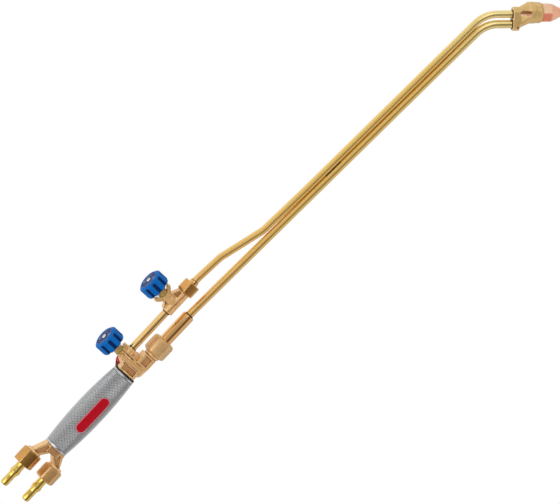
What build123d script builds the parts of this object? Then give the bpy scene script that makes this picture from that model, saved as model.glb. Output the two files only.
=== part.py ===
"""Long oxy-propane cutting torch: barrel handle, three needle valves, twin brass tubes and a copper nozzle.

Millimetres. +X runs from the hose end to the nozzle, +Z is up on the side of the two oxygen knobs.
The origin is on the handle's axis, midway along the handle.
"""

import os
from math import cos, radians, sin, tan

from build123d import *

os.makedirs("parts", exist_ok=True)

# ---------------------------------------- clearances
SLIP = 0.05  # radial, between pieces that are screwed, brazed or pushed together
RUN = 0.06  # radial, between a turning or sliding spindle and what it runs in
GAP = 0.3  # between moving pieces that don't guide each other

# ---------------------------------------- handle
HANDLE_LENGTH = 125.0
HANDLE_REAR_R = 15.7
HANDLE_BELLY_R = 19.4
HANDLE_FRONT_R = 15.9
HANDLE_WALL = 2.4
SOCKET_R = 11.6  # round sockets that the end pieces plug into
SOCKET_DEPTH = 7.0
HANDLE_REAR_X = -HANDLE_LENGTH / 2
HANDLE_FRONT_X = HANDLE_LENGTH / 2

PLATE_LENGTH = 55.5
PLATE_HEIGHT = 13.8
PLATE_THICKNESS = 0.5
PLATE_X = -0.5

GASKET_THICKNESS = 2.0
BODY_X = HANDLE_FRONT_X + GASKET_THICKNESS

FEED_TUBE_R = 4.0
FEED_TUBE_BORE_R = 2.6
FEED_TUBE_Z = 6.6

# ---------------------------------------- hose inlets
INLET_Z = 17.5
INLET_STAGGER = 2.5  # the lower, fuel side sits this much further forward
INLET_BLOCK_LENGTH = 10.0
INLET_BLOCK_HEIGHT = 17.5
INLET_WIDTH = 16.0
ARM_HEIGHT = 11.0
ARM_RECESS = 0.9  # panels sunk in the arms' two sides
ARM_REACH = 22.0  # from the handle's rear face back to the oxygen nut
INLET_THREAD_R = 8.0
INLET_THREAD_LENGTH = 11.0
INLET_NUT_FLATS = 24.0
INLET_NUT_LENGTH = 20.6
NIPPLE_BARREL_R = 5.0
NIPPLE_RIB_R = 6.6
NIPPLE_ROOT_R = 5.7
NIPPLE_BORE_R = 3.2
NIPPLE_REACH = 34.3  # from the nut's outer face to the tip

# ---------------------------------------- needle valves, measured from the boss top
VALVE_BOSS_R = 6.6
GLAND_R = 4.5
GLAND_DEPTH = 6.5
GLAND_STUD_LENGTH = 3.0
SPINDLE_R = 2.6
SPINDLE_THREAD_R = 3.5
SPINDLE_COLLAR_LENGTH = 4.0
SEAT_DEPTH = 16.0
SEAT_R = 1.5
NEEDLE_STEM_R = 1.0
NEEDLE_STEM_LENGTH = 3.0
SPINDLE_PITCH = 1.0
SPINDLE_TURNS = 1.5
SPINDLE_RISE = SPINDLE_PITCH * SPINDLE_TURNS
PACKING_NUT_FLATS = 11.0
PACKING_NUT_HEIGHT = 9.4
KNOB_LIFT = 11.3  # underside of the knob above the boss top
KNOB_R = 17.0
KNOB_SKIRT = 15.6
KNOB_HEIGHT = 18.0
KNOB_FACE_R = 14.2
KNOB_CAP_R = 12.2
KNOB_CAP_DEPTH = 1.4
KNOB_FLUTES = 9
KNOB_FLUTE_R = 2.3
KNOB_HUB_R = 6.5
KNOB_WALL = 3.2
KNOB_HOLLOW = 9.0
SCREW_R = 2.0
SCREW_HEAD_R = 4.1
SCREW_HEAD_HEIGHT = 1.7
SCREW_REACH = 5.0

# ---------------------------------------- valve body behind the handle
DRUM_R = 13.5
DRUM_LENGTH = 14.5
COLUMN_R = 9.4
COLUMN_BOTTOM = 13.5
COLUMN_TOP = 12.0
HEATING_X = BODY_X + 16.6
HEATING_BOSS_Z = 24.8
FUEL_X = BODY_X + 11.2
FUEL_Z = -7.5
FUEL_BOSS_Y = 12.7
LINK_Z = 16.0
LINK_BOSS_R = 5.8
LINK_BOSS_X = BODY_X + 29.5
LINK_TUBE_R = 4.9
LINK_TUBE_BORE_R = 3.2
LINK_SOCKET = 6.0
WEB_WIDTH = 11.0
MIXER_Z = -9.2
MIXER_BOSS_R = 11.0
MIXER_BOSS_X = BODY_X + 17.0
MIXER_NUT_X = BODY_X + 40.5

# ---------------------------------------- mixer
MIXER_THREAD_R = 10.0
MIXER_THREAD_LENGTH = 14.0
MIXER_NUT_FLATS = 28.0
MIXER_NUT_LENGTH = 23.2
MIXER_NUT_LIP = 4.5
MIXER_R = 8.0
MIXER_LENGTH = 43.0  # from the nut's front face
MIXER_THROAT_R = 2.2
INJECTOR_R = 4.0
INJECTOR_LENGTH = 34.0
INJECTOR_JET_R = 0.6

# ---------------------------------------- cutting valve
CUTTING_X = BODY_X + 105.5
CUTTING_BOSS_Z = LINK_Z + 17.0
BARREL_R = 7.4
BARREL_REAR_X = BODY_X + 91.3
BARREL_FRONT_X = BODY_X + 123.5
OUTLET_THREAD_R = 7.0
OUTLET_THREAD_LENGTH = 8.0
OUTLET_NUT_FLATS = 21.0
OUTLET_NUT_LENGTH = 15.6
OUTLET_NUT_LIP = 3.0
FERRULE_R = 5.8
FERRULE_REACH = 4.0

# ---------------------------------------- long tubes and head
CUTTING_TUBE_R = 4.7
CUTTING_TUBE_BORE_R = 3.0
MIXED_TUBE_R = 5.2
MIXED_TUBE_BORE_R = 4.0
TUBE_TOUCH = 0.1  # gap between the two tubes where they lie together
TUBE_DROOP = 2.5  # degrees that the long tubes fall below the handle's axis
SETTLE_BEND_REACH = 4.5  # from the ferrule to the first slight bend of the cutting tube
SETTLE_BEND_R = 60.0
SETTLE_DROP = 2.8  # that the cutting tube has fallen by at its offset bend
OFFSET_BEND_X = BODY_X + 186.3
JOIN_BEND_X = BODY_X + 247.5
JOIN_LIFT = 1.2  # that the cutting tube is still clear of the other one by at its join bend
TOUCH_BEND_X = BODY_X + 318.0
OFFSET_BEND_R = 40.0
TOUCH_BEND_R = 600.0
DROOP_BEND_R = 200.0
HEAD_BEND_X = BODY_X + 636.0
HEAD_BEND_R = 40.0
HEAD_BEND = 45.0  # degrees
HEAD_TUBE_SPACING = 12.6
HEAD_TUBE_DROP = 1.8  # that the cutting tube enters the head below the head's axis
HEAD_FLANGE_T = 34.5  # distances from the bend's corner along the head's axis
HEAD_FLANGE_LENGTH = 9.0
HEAD_FLANGE_R = 7.5
HEAD_FLANGE_SPAN = 15.3  # between the centres of the flange's two round ends
HEAD_NECK_LENGTH = 11.7
NECK_WIDTH = 11.0
HEAD_R = 13.6
HEAD_FRONT_R = 13.4
HEAD_SHOULDER_LENGTH = 7.2
HEAD_FRONT_LENGTH = 11.3
HEAD_SOCKET = 8.0
NOZZLE_THREAD_R = 9.0
NOZZLE_FLATS = 22.6
NOZZLE_TURN = -9.5  # degrees that the nozzle stands round its axis
NOZZLE_CORNER_TRIM = 0.2
NOZZLE_HEX_LENGTH = 9.0
NOZZLE_LENGTH = 24.7
NOZZLE_TIP_R = 5.7
INNER_NOZZLE_R = 2.8

# ---------------------------------------- braze
BRAZE_LEG = 1.6
HEAD_BRAZE_LEG = 1.2
TACK_X = BODY_X + 350.0
TACK_LENGTH = 26.0


# ---------------------------------------- helpers
def finish(piece, name):
    """Labels a finished sub-part and writes it as one STEP file."""
    piece.part.label = name
    export_step(piece.part, f"parts/{name}.step")


def facing(point, direction):
    """A plane at a point with Z along a direction and X in the torch's own XZ plane."""
    across = Vector(0, 1, 0)
    direction = Vector(*direction).normalized()
    if abs(direction.dot(across)) > 0.9:
        return Plane(origin=point, x_dir=(1, 0, 0), z_dir=direction)
    return Plane(origin=point, x_dir=across.cross(direction), z_dir=direction)


def section(axis_plane):
    """The half-plane of a turned piece: X is the radius and Y runs along the axis."""
    return Plane(origin=axis_plane.origin, x_dir=axis_plane.x_dir, z_dir=-axis_plane.y_dir)


def axis_of(axis_plane):
    return Axis(axis_plane.origin, axis_plane.z_dir)


def turn(axis_plane, outline, mode=Mode.ADD):
    """Revolves an outline of (radius, height) points round the axis, into the part that is being built."""
    with BuildSketch(section(axis_plane)) as profile:
        with BuildLine():
            Polyline(*outline, close=True)
        make_face()
    revolve(profile.sketch, axis=axis_of(axis_plane), mode=mode)


def rod(start, end, radius, mode=Mode.ADD):
    """A round bar, boss or drilled passage from one point to another, in the part that is being built."""
    run = Vector(*end) - Vector(*start)
    with BuildSketch(facing(start, tuple(run))) as disc:
        Circle(radius)
    extrude(disc.sketch, amount=run.length, mode=mode)


def turned(name, axis_plane, outline):
    """A plain turned piece, such as a ring or a sleeve."""
    with BuildPart() as piece:
        turn(axis_plane, outline)
    finish(piece, name)


def hex_nut(name, axis_plane, flats, length, chamfer_rim, bore):
    """A hexagon nut, its corners turned away at both ends, with a stepped bore of (radius, height) points."""
    corner = flats / 2 / cos(radians(30))
    lean = chamfer_rim * 0.6
    with BuildPart() as nut:
        with BuildSketch(axis_plane):
            RegularPolygon(flats / 2, 6, major_radius=False, rotation=NUT_TURN)
        extrude(amount=length)
        turn(
            axis_plane,
            [
                (0, 0),
                (corner - chamfer_rim, 0),
                (corner, lean),
                (corner, length - lean),
                (corner - chamfer_rim, length),
                (0, length),
            ],
            mode=Mode.INTERSECT,
        )
        turn(axis_plane, bore, mode=Mode.SUBTRACT)
    finish(nut, name)


NUT_TURN = 22.0  # degrees that the nuts stand round their axis, as they came to rest when tightened
ABOVE = (0, 0, 1)
BESIDE = (0, 1, 0)
FORWARD = (1, 0, 0)

# ---------------------------------------- handle shell
handle_arc = [
    (HANDLE_REAR_X, HANDLE_REAR_R),
    (0, HANDLE_BELLY_R),
    (HANDLE_FRONT_X, HANDLE_FRONT_R),
]
with BuildPart() as handle_shell:
    with BuildSketch(Plane.XZ) as outer:
        with BuildLine():
            ThreePointArc(*handle_arc)
            Polyline(handle_arc[0], (HANDLE_REAR_X, 0), (HANDLE_FRONT_X, 0), handle_arc[2])
        make_face()
    revolve(outer.sketch, axis=Axis.X)
    with BuildSketch(Plane.XZ) as inner:
        with BuildLine():
            hollow_rear_x = HANDLE_REAR_X + SOCKET_DEPTH
            hollow_front_x = HANDLE_FRONT_X - SOCKET_DEPTH
            ThreePointArc(
                (hollow_rear_x, HANDLE_REAR_R - HANDLE_WALL),
                (0, HANDLE_BELLY_R - HANDLE_WALL),
                (hollow_front_x, HANDLE_FRONT_R - HANDLE_WALL),
            )
            Polyline(
                (hollow_rear_x, HANDLE_REAR_R - HANDLE_WALL),
                (hollow_rear_x, 0),
                (hollow_front_x, 0),
                (hollow_front_x, HANDLE_FRONT_R - HANDLE_WALL),
            )
        make_face()
    revolve(inner.sketch, axis=Axis.X, mode=Mode.SUBTRACT)
    rod((HANDLE_REAR_X, 0, 0), (HANDLE_FRONT_X, 0, 0), SOCKET_R, mode=Mode.SUBTRACT)
finish(handle_shell, "handle_shell")

# ---------------------------------------- name plate, curved over the handle's near side
with BuildPart() as name_plate:
    with BuildSketch(Plane.XZ) as band:
        with BuildLine():
            outer_arc = ThreePointArc(*[(x, r + PLATE_THICKNESS) for x, r in handle_arc])
            inner_arc = ThreePointArc(*[(x, r + 0.01) for x, r in handle_arc])
            Line(outer_arc @ 0, inner_arc @ 0)
            Line(outer_arc @ 1, inner_arc @ 1)
        make_face()
    revolve(band.sketch, axis=Axis.X)
    with BuildSketch(Plane.XZ) as outline:
        with Locations((PLATE_X, 0)):
            SlotOverall(PLATE_LENGTH, PLATE_HEIGHT)
    extrude(outline.sketch, amount=HANDLE_BELLY_R * 2, mode=Mode.INTERSECT)
finish(name_plate, "name_plate")

# ---------------------------------------- gasket between handle and valve body
turned(
    "front_gasket",
    facing((HANDLE_FRONT_X, 0, 0), FORWARD),
    [
        (SOCKET_R, 0),
        (HANDLE_FRONT_R - 0.2, 0),
        (HANDLE_FRONT_R - 0.2, GASKET_THICKNESS),
        (SOCKET_R, GASKET_THICKNESS),
    ],
)

# ---------------------------------------- inlet block with its two arms
inlets = {
    "oxygen": (INLET_Z, HANDLE_REAR_X - ARM_REACH),
    "fuel": (-INLET_Z, HANDLE_REAR_X - ARM_REACH + INLET_STAGGER),
}
plug_front_x = HANDLE_REAR_X + SOCKET_DEPTH
with BuildPart() as inlet_block:
    for inlet_z, arm_x in inlets.values():
        side = 1 if inlet_z > 0 else -1
        root_z = side * (HANDLE_REAR_R - 0.6)
        rear_x = HANDLE_REAR_X - INLET_BLOCK_LENGTH
        with BuildSketch(Plane.XZ.offset(-INLET_WIDTH / 2 + 1.5)) as arm_face:
            with BuildLine():
                Polyline(
                    (HANDLE_REAR_X, root_z),
                    (arm_x, inlet_z + side * ARM_HEIGHT / 2),
                    (arm_x, inlet_z - side * ARM_HEIGHT / 2),
                    (rear_x - 1.0, root_z - side * ARM_HEIGHT),
                    (HANDLE_REAR_X, root_z - side * ARM_HEIGHT),
                    close=True,
                )
            make_face()
        extrude(arm_face.sketch, amount=INLET_WIDTH - 3.0)
        with BuildSketch(Plane.XZ.offset(-INLET_WIDTH / 2 + 1.5)) as panel:
            with BuildLine():
                Polyline(
                    (HANDLE_REAR_X - 3.0, root_z - side * 1.9),
                    (arm_x + 3.0, inlet_z + side * (ARM_HEIGHT / 2 - 2.6)),
                    (arm_x + 3.0, inlet_z - side * (ARM_HEIGHT / 2 - 2.2)),
                    (rear_x, root_z - side * (ARM_HEIGHT - 2.2)),
                    (HANDLE_REAR_X - 3.0, root_z - side * (ARM_HEIGHT - 2.2)),
                    close=True,
                )
            make_face()
        extrude(panel.sketch, amount=ARM_RECESS, mode=Mode.SUBTRACT)
        far_panel = panel.sketch.moved(Location((0, 3.0 - INLET_WIDTH, 0)))
        extrude(far_panel, amount=-ARM_RECESS, mode=Mode.SUBTRACT)
    with BuildSketch(Plane.XZ.offset(-INLET_WIDTH / 2)) as centre_face:
        with Locations((HANDLE_REAR_X - INLET_BLOCK_LENGTH / 2, 0)):
            RectangleRounded(INLET_BLOCK_LENGTH, INLET_BLOCK_HEIGHT, 1.2)
    extrude(centre_face.sketch, amount=INLET_WIDTH)
    for inlet_z, arm_x in inlets.values():
        rod((arm_x + 1.0, 0, inlet_z), (arm_x - INLET_THREAD_LENGTH, 0, inlet_z), INLET_THREAD_R)
    rod((HANDLE_REAR_X, 0, 0), (plug_front_x, 0, 0), SOCKET_R - SLIP)
    for inlet_z, arm_x in inlets.values():
        tube_z = FEED_TUBE_Z if inlet_z > 0 else -FEED_TUBE_Z
        turn(
            facing((arm_x - INLET_THREAD_LENGTH, 0, inlet_z), FORWARD),
            [(0, -1), (6.2, -1), (6.2, 0), (FEED_TUBE_BORE_R, 5.0), (0, 5.0)],
            mode=Mode.SUBTRACT,
        )
        mouth = (arm_x - INLET_THREAD_LENGTH + 4, 0, inlet_z)
        drilled_to = (arm_x + 2.0, 0, inlet_z)
        slanted_from = (arm_x + 1.2, 0, inlet_z)
        slanted_to = (HANDLE_REAR_X + 1.5, 0, tube_z)
        socket_rear = (HANDLE_REAR_X + 1.0, 0, tube_z)
        rod(mouth, drilled_to, FEED_TUBE_BORE_R, mode=Mode.SUBTRACT)
        rod(slanted_from, slanted_to, FEED_TUBE_BORE_R, mode=Mode.SUBTRACT)
        rod(socket_rear, (plug_front_x, 0, tube_z), FEED_TUBE_R + SLIP, mode=Mode.SUBTRACT)
finish(inlet_block, "inlet_block")

# ---------------------------------------- union nuts and hose nipples
collar_length = 3.5
for gas, (inlet_z, arm_x) in inlets.items():
    nut_plane = facing((arm_x - 0.3, 0, inlet_z), (-1, 0, 0))
    lip_h = INLET_THREAD_LENGTH + collar_length
    hex_nut(
        f"{gas}_inlet_nut",
        nut_plane,
        INLET_NUT_FLATS,
        INLET_NUT_LENGTH,
        2.2 if gas == "fuel" else 1.4,
        [
            (0, -1),
            (INLET_THREAD_R + SLIP, -1),
            (INLET_THREAD_R + SLIP, lip_h),
            (NIPPLE_ROOT_R + SLIP, lip_h),
            (NIPPLE_ROOT_R + SLIP, INLET_NUT_LENGTH + 1),
            (0, INLET_NUT_LENGTH + 1),
        ],
    )
    nipple_plane = facing((arm_x - INLET_THREAD_LENGTH, 0, inlet_z), (-1, 0, 0))
    stem_h = INLET_NUT_LENGTH + 0.3 - INLET_THREAD_LENGTH
    tip_h = stem_h + NIPPLE_REACH
    rib_h = stem_h + 12.5
    turned(
        f"{gas}_hose_nipple",
        nipple_plane,
        [
            (NIPPLE_BORE_R, -2.0),
            (NIPPLE_BORE_R + 1.4, -1.4),
            (6.0, SLIP),
            (7.2, SLIP),
            (7.2, collar_length - 0.3),
            (NIPPLE_ROOT_R, collar_length - 0.3),
            (NIPPLE_ROOT_R, rib_h - 3.5),
            (NIPPLE_RIB_R, rib_h),
            (NIPPLE_BARREL_R, rib_h + 4.5),
            (NIPPLE_BARREL_R, tip_h - 1.6),
            (NIPPLE_BARREL_R - 1.2, tip_h),
            (NIPPLE_BORE_R, tip_h),
        ],
    )

# ---------------------------------------- feed tubes inside the handle
for gas, tube_z in {"oxygen": FEED_TUBE_Z, "fuel": -FEED_TUBE_Z}.items():
    with BuildPart() as feed_tube:
        tube_rear_x = HANDLE_REAR_X + 1.2
        tube_front_x = BODY_X + 4.0
        rod((tube_rear_x, 0, tube_z), (tube_front_x, 0, tube_z), FEED_TUBE_R)
        rod((tube_rear_x, 0, tube_z), (tube_front_x, 0, tube_z), FEED_TUBE_BORE_R, mode=Mode.SUBTRACT)
    finish(feed_tube, f"{gas}_feed_tube")

# ---------------------------------------- needle valves: the same pieces on three bosses
valves = {
    "heating_oxygen": facing((HEATING_X, 0, HEATING_BOSS_Z), ABOVE),
    "fuel_gas": facing((FUEL_X, FUEL_BOSS_Y, FUEL_Z), BESIDE),
    "cutting_oxygen": facing((CUTTING_X, 0, CUTTING_BOSS_Z), ABOVE),
}


def bore_for_valve(boss_plane):
    """The gland, spindle thread and seat that a needle valve needs, cut from the body that is being built."""
    turn(
        boss_plane,
        [
            (0, 1),
            (GLAND_R + SLIP, 1),
            (GLAND_R + SLIP, -GLAND_DEPTH),
            (SPINDLE_THREAD_R + RUN, -GLAND_DEPTH),
            (SPINDLE_THREAD_R + RUN, -SEAT_DEPTH),
            (SEAT_R, -SEAT_DEPTH - (SPINDLE_THREAD_R + RUN - SEAT_R)),
            (0, -SEAT_DEPTH - (SPINDLE_THREAD_R + RUN - SEAT_R)),
        ],
        mode=Mode.SUBTRACT,
    )


knob_top = KNOB_LIFT + KNOB_HEIGHT
cap_floor = knob_top - KNOB_CAP_DEPTH
spindle_top = cap_floor - 3.0
for valve, boss_plane in valves.items():
    nut_bore_r = SPINDLE_R + 0.1
    corner_r = PACKING_NUT_FLATS / 2 / cos(radians(30))
    with BuildPart() as packing_nut:
        with BuildSketch(boss_plane.offset(SLIP)) as hexagon:
            RegularPolygon(PACKING_NUT_FLATS / 2, 6, major_radius=False, rotation=NUT_TURN)
        extrude(hexagon.sketch, amount=PACKING_NUT_HEIGHT - SLIP)
        turn(
            boss_plane,
            [
                (0, SLIP),
                (corner_r, SLIP),
                (corner_r, PACKING_NUT_HEIGHT - 0.6),
                (corner_r - 1.0, PACKING_NUT_HEIGHT),
                (0, PACKING_NUT_HEIGHT),
            ],
            mode=Mode.INTERSECT,
        )
        turn(boss_plane, [(0, -GLAND_STUD_LENGTH), (GLAND_R, -GLAND_STUD_LENGTH), (GLAND_R, 1), (0, 1)])
        turn(
            boss_plane,
            [
                (0, -GLAND_STUD_LENGTH - 1),
                (nut_bore_r, -GLAND_STUD_LENGTH - 1),
                (nut_bore_r, PACKING_NUT_HEIGHT + 1),
                (0, PACKING_NUT_HEIGHT + 1),
            ],
            mode=Mode.SUBTRACT,
        )
    finish(packing_nut, f"{valve}_packing_nut")
    turned(
        f"{valve}_packing",
        boss_plane,
        [
            (SPINDLE_R + RUN, -GLAND_DEPTH + SLIP),
            (GLAND_R, -GLAND_DEPTH + SLIP),
            (GLAND_R, -GLAND_STUD_LENGTH - SLIP),
            (SPINDLE_R + RUN, -GLAND_STUD_LENGTH - SLIP),
        ],
    )
    # The needle doesn't turn: its stem swivels in the spindle's end, and the spindle carries it up and down.
    seat_bottom = -SEAT_DEPTH - (SPINDLE_THREAD_R + RUN - SEAT_R)
    shoulder_h = seat_bottom + (SPINDLE_R - SEAT_R) + SLIP
    spindle_foot = shoulder_h + 2.2
    turned(
        f"{valve}_needle",
        boss_plane,
        [
            (0, seat_bottom - 0.5),
            (SEAT_R - 0.5, seat_bottom - 0.5 + SLIP),
            (SPINDLE_R, shoulder_h),
            (SPINDLE_R, spindle_foot - SLIP),
            (NEEDLE_STEM_R, spindle_foot - SLIP),
            (NEEDLE_STEM_R, spindle_foot + NEEDLE_STEM_LENGTH),
            (0, spindle_foot + NEEDLE_STEM_LENGTH),
        ],
    )
    collar_top = -GLAND_DEPTH - GAP - SPINDLE_RISE
    turned(
        f"{valve}_spindle",
        boss_plane,
        [
            (NEEDLE_STEM_R + RUN, spindle_foot),
            (SPINDLE_R, spindle_foot),
            (SPINDLE_R, collar_top - SPINDLE_COLLAR_LENGTH),
            (SPINDLE_THREAD_R, collar_top - SPINDLE_COLLAR_LENGTH + 0.5),
            (SPINDLE_THREAD_R, collar_top - 0.5),
            (SPINDLE_R, collar_top),
            (SPINDLE_R, spindle_top),
            (SCREW_R + RUN, spindle_top),
            (SCREW_R + RUN, spindle_top - SCREW_REACH - 1),
            (0, spindle_top - SCREW_REACH - 1),
            (0, spindle_foot + NEEDLE_STEM_LENGTH + 1),
            (NEEDLE_STEM_R + RUN, spindle_foot + NEEDLE_STEM_LENGTH + 1),
        ],
    )
    knob_plane = boss_plane.offset(KNOB_LIFT)
    with BuildPart() as knob:
        turn(
            knob_plane,
            [
                (0, 0),
                (KNOB_R - 1.0, 0),
                (KNOB_R, 1.0),
                (KNOB_R, KNOB_SKIRT),
                (KNOB_FACE_R, KNOB_HEIGHT),
                (0, KNOB_HEIGHT),
            ],
        )
        turn(
            knob_plane,
            [
                (KNOB_HUB_R, -1),
                (KNOB_R - KNOB_WALL, -1),
                (KNOB_R - KNOB_WALL, KNOB_HOLLOW - 1),
                (KNOB_R - KNOB_WALL - 1, KNOB_HOLLOW),
                (KNOB_HUB_R, KNOB_HOLLOW),
            ],
            mode=Mode.SUBTRACT,
        )
        with BuildSketch(knob_plane.offset(-0.5)) as flutes:
            with PolarLocations(KNOB_R + 0.75, KNOB_FLUTES, start_angle=-90):
                Circle(KNOB_FLUTE_R)
        extrude(flutes.sketch, amount=KNOB_SKIRT - 1.6, mode=Mode.SUBTRACT)
        turn(
            knob_plane,
            [
                (0, -1),
                (SPINDLE_R + RUN, -1),
                (SPINDLE_R + RUN, spindle_top - KNOB_LIFT + GAP),
                (SCREW_R + RUN, spindle_top - KNOB_LIFT + GAP),
                (SCREW_R + RUN, cap_floor - KNOB_LIFT),
                (KNOB_CAP_R + SLIP, cap_floor - KNOB_LIFT),
                (KNOB_CAP_R + SLIP, KNOB_HEIGHT + 1),
                (0, KNOB_HEIGHT + 1),
            ],
            mode=Mode.SUBTRACT,
        )
    finish(knob, f"{valve}_knob")
    turned(
        f"{valve}_knob_cap",
        boss_plane,
        [
            (SCREW_R + RUN, cap_floor),
            (KNOB_CAP_R, cap_floor),
            (KNOB_CAP_R, knob_top - 0.7),
            (KNOB_CAP_R - 0.4, knob_top - 0.3),
            (SCREW_HEAD_R + 1.0, knob_top - 0.3),
            (SCREW_HEAD_R + 0.4, cap_floor + 0.5),
            (SCREW_R + RUN, cap_floor + 0.5),
        ],
    )
    head_floor = cap_floor + 0.5
    with BuildPart() as knob_screw:
        turn(
            boss_plane,
            [
                (0, spindle_top - SCREW_REACH),
                (SCREW_R, spindle_top - SCREW_REACH),
                (SCREW_R, head_floor),
                (SCREW_HEAD_R, head_floor),
                (SCREW_HEAD_R, head_floor + SCREW_HEAD_HEIGHT - 0.6),
                (SCREW_HEAD_R - 1.0, head_floor + SCREW_HEAD_HEIGHT),
                (0, head_floor + SCREW_HEAD_HEIGHT),
            ],
        )
        with BuildSketch(boss_plane.offset(head_floor + SCREW_HEAD_HEIGHT)) as slot:
            Rectangle(SCREW_HEAD_R * 2 + 1, 1.0, rotation=25)
        extrude(slot.sketch, amount=-0.9, mode=Mode.SUBTRACT)
    finish(knob_screw, f"{valve}_knob_screw")

# ---------------------------------------- valve body, a forging in front of the handle
thread_front_x = MIXER_NUT_X + MIXER_THREAD_LENGTH
injector_rear_x = thread_front_x - INJECTOR_LENGTH + 4.0
with BuildPart() as valve_body:
    rod((BODY_X, 0, 0), (BODY_X + DRUM_LENGTH, 0, 0), DRUM_R)
    fillet(valve_body.edges().sort_by(Axis.X)[-1], 2.0)
    turn(
        facing((HEATING_X - 2.5, 0, -COLUMN_BOTTOM), ABOVE),
        [
            (0, 0),
            (COLUMN_R - 3, 0),
            (COLUMN_R, 2),
            (COLUMN_R, COLUMN_BOTTOM + COLUMN_TOP - 2),
            (VALVE_BOSS_R, COLUMN_BOTTOM + COLUMN_TOP),
            (0, COLUMN_BOTTOM + COLUMN_TOP),
        ],
    )
    rod((HEATING_X, 0, 0), (HEATING_X, 0, HEATING_BOSS_Z), VALVE_BOSS_R)
    rod((FUEL_X, 0, FUEL_Z), (FUEL_X, FUEL_BOSS_Y, FUEL_Z), VALVE_BOSS_R)
    rod((HEATING_X, 0, LINK_Z), (LINK_BOSS_X, 0, LINK_Z), LINK_BOSS_R)
    with BuildSketch(Plane.XZ.offset(-WEB_WIDTH / 2)) as web_face:
        with BuildLine():
            Polyline(
                (HEATING_X, MIXER_Z),
                (LINK_BOSS_X, MIXER_Z),
                (LINK_BOSS_X, LINK_Z),
                (HEATING_X, LINK_Z),
                close=True,
            )
        make_face()
    extrude(web_face.sketch, amount=WEB_WIDTH)
    with BuildSketch(Plane.XZ.offset(-3.5)) as wing_face:
        with BuildLine():
            Polyline(
                (HEATING_X, LINK_Z),
                (HEATING_X, HEATING_BOSS_Z),
                (HEATING_X + VALVE_BOSS_R + 1, HEATING_BOSS_Z + 3.5),
                (HEATING_X + 12.0, HEATING_BOSS_Z + 3.5),
                (HEATING_X + 10.5, LINK_Z + LINK_BOSS_R - 1),
                (LINK_BOSS_X - 2, LINK_Z),
                close=True,
            )
        make_face()
    extrude(wing_face.sketch, amount=7.0)
    for valve in ("heating_oxygen", "fuel_gas"):
        turn(
            valves[valve],
            [(0, 0), (PACKING_NUT_FLATS * 0.65, 0), (PACKING_NUT_FLATS * 0.65, 7), (0, 7)],
            mode=Mode.SUBTRACT,
        )
    rod((MIXER_BOSS_X, 0, MIXER_Z), (MIXER_NUT_X, 0, MIXER_Z), MIXER_BOSS_R)
    rod((BODY_X + 4, 0, MIXER_Z), (MIXER_BOSS_X, 0, MIXER_Z), 5.0)
    pocket_plane = Plane.XZ.offset(MIXER_BOSS_R - 1.4)
    with BuildSketch(pocket_plane) as pocket:
        with Locations(((MIXER_BOSS_X + MIXER_NUT_X) / 2 - 0.5, MIXER_Z + 2.0)):
            RectangleRounded(15.5, 8.5, 1.2)
    extrude(pocket.sketch, amount=5.0, mode=Mode.SUBTRACT)
    with BuildSketch(Plane.XY.offset(-11.0)) as rib_foot:
        with Locations((HEATING_X, -8.4)):
            Circle(3.4)
    extrude(rib_foot.sketch, amount=11.0 + LINK_Z)
    rod((MIXER_NUT_X, 0, MIXER_Z), (thread_front_x, 0, MIXER_Z), MIXER_THREAD_R)
    rod((HANDLE_FRONT_X - SOCKET_DEPTH + 1, 0, 0), (BODY_X + 1, 0, 0), SOCKET_R - SLIP)
    bore_for_valve(valves["heating_oxygen"])
    bore_for_valve(valves["fuel_gas"])
    sockets = [
        ((HANDLE_FRONT_X - SOCKET_DEPTH, 0, FEED_TUBE_Z), (BODY_X + 4.2, 0, FEED_TUBE_Z), FEED_TUBE_R),
        ((HANDLE_FRONT_X - SOCKET_DEPTH, 0, -FEED_TUBE_Z), (BODY_X + 4.2, 0, -FEED_TUBE_Z), FEED_TUBE_R),
        ((LINK_BOSS_X - LINK_SOCKET, 0, LINK_Z), (LINK_BOSS_X, 0, LINK_Z), LINK_TUBE_R),
        ((thread_front_x + 1, 0, MIXER_Z), (injector_rear_x, 0, MIXER_Z), INJECTOR_R),
    ]
    for start, end, radius in sockets:
        rod(start, end, radius + SLIP, mode=Mode.SUBTRACT)
    jet_feed_x = injector_rear_x - 2.0
    heating_seat_z = HEATING_BOSS_Z - SEAT_DEPTH
    fuel_seat_y = FUEL_BOSS_Y - SEAT_DEPTH
    passages = [
        ((BODY_X + 3.5, 0, FEED_TUBE_Z), (HEATING_X, 0, heating_seat_z + 1.9), 1.8),
        ((LINK_BOSS_X - LINK_SOCKET + 1, 0, LINK_Z), (HEATING_X, 0, heating_seat_z + 2.0), 1.6),
        ((HEATING_X, 0, heating_seat_z), (HEATING_X, 0, 0), SEAT_R),
        ((HEATING_X, 0, 0.6), (jet_feed_x, 0, 0.6), 1.4),
        ((jet_feed_x, 0, 1.2), (jet_feed_x, 0, MIXER_Z), 1.4),
        ((jet_feed_x, 0, MIXER_Z), (injector_rear_x + 1, 0, MIXER_Z), 1.4),
        ((BODY_X + 3.5, 0, -FEED_TUBE_Z), (FUEL_X, fuel_seat_y + 2, FUEL_Z), 1.8),
        ((FUEL_X, fuel_seat_y, FUEL_Z), (FUEL_X, fuel_seat_y - 4.7, FUEL_Z), SEAT_R),
        ((FUEL_X, fuel_seat_y - 3.7, FUEL_Z), (injector_rear_x + 12, fuel_seat_y - 3.7, FUEL_Z), 1.3),
        ((injector_rear_x + 11, fuel_seat_y - 3.7, FUEL_Z), (injector_rear_x + 11, 0, FUEL_Z - 1), 1.3),
    ]
    for start, end, radius in passages:
        rod(start, end, radius, mode=Mode.SUBTRACT)
finish(valve_body, "valve_body")

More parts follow.
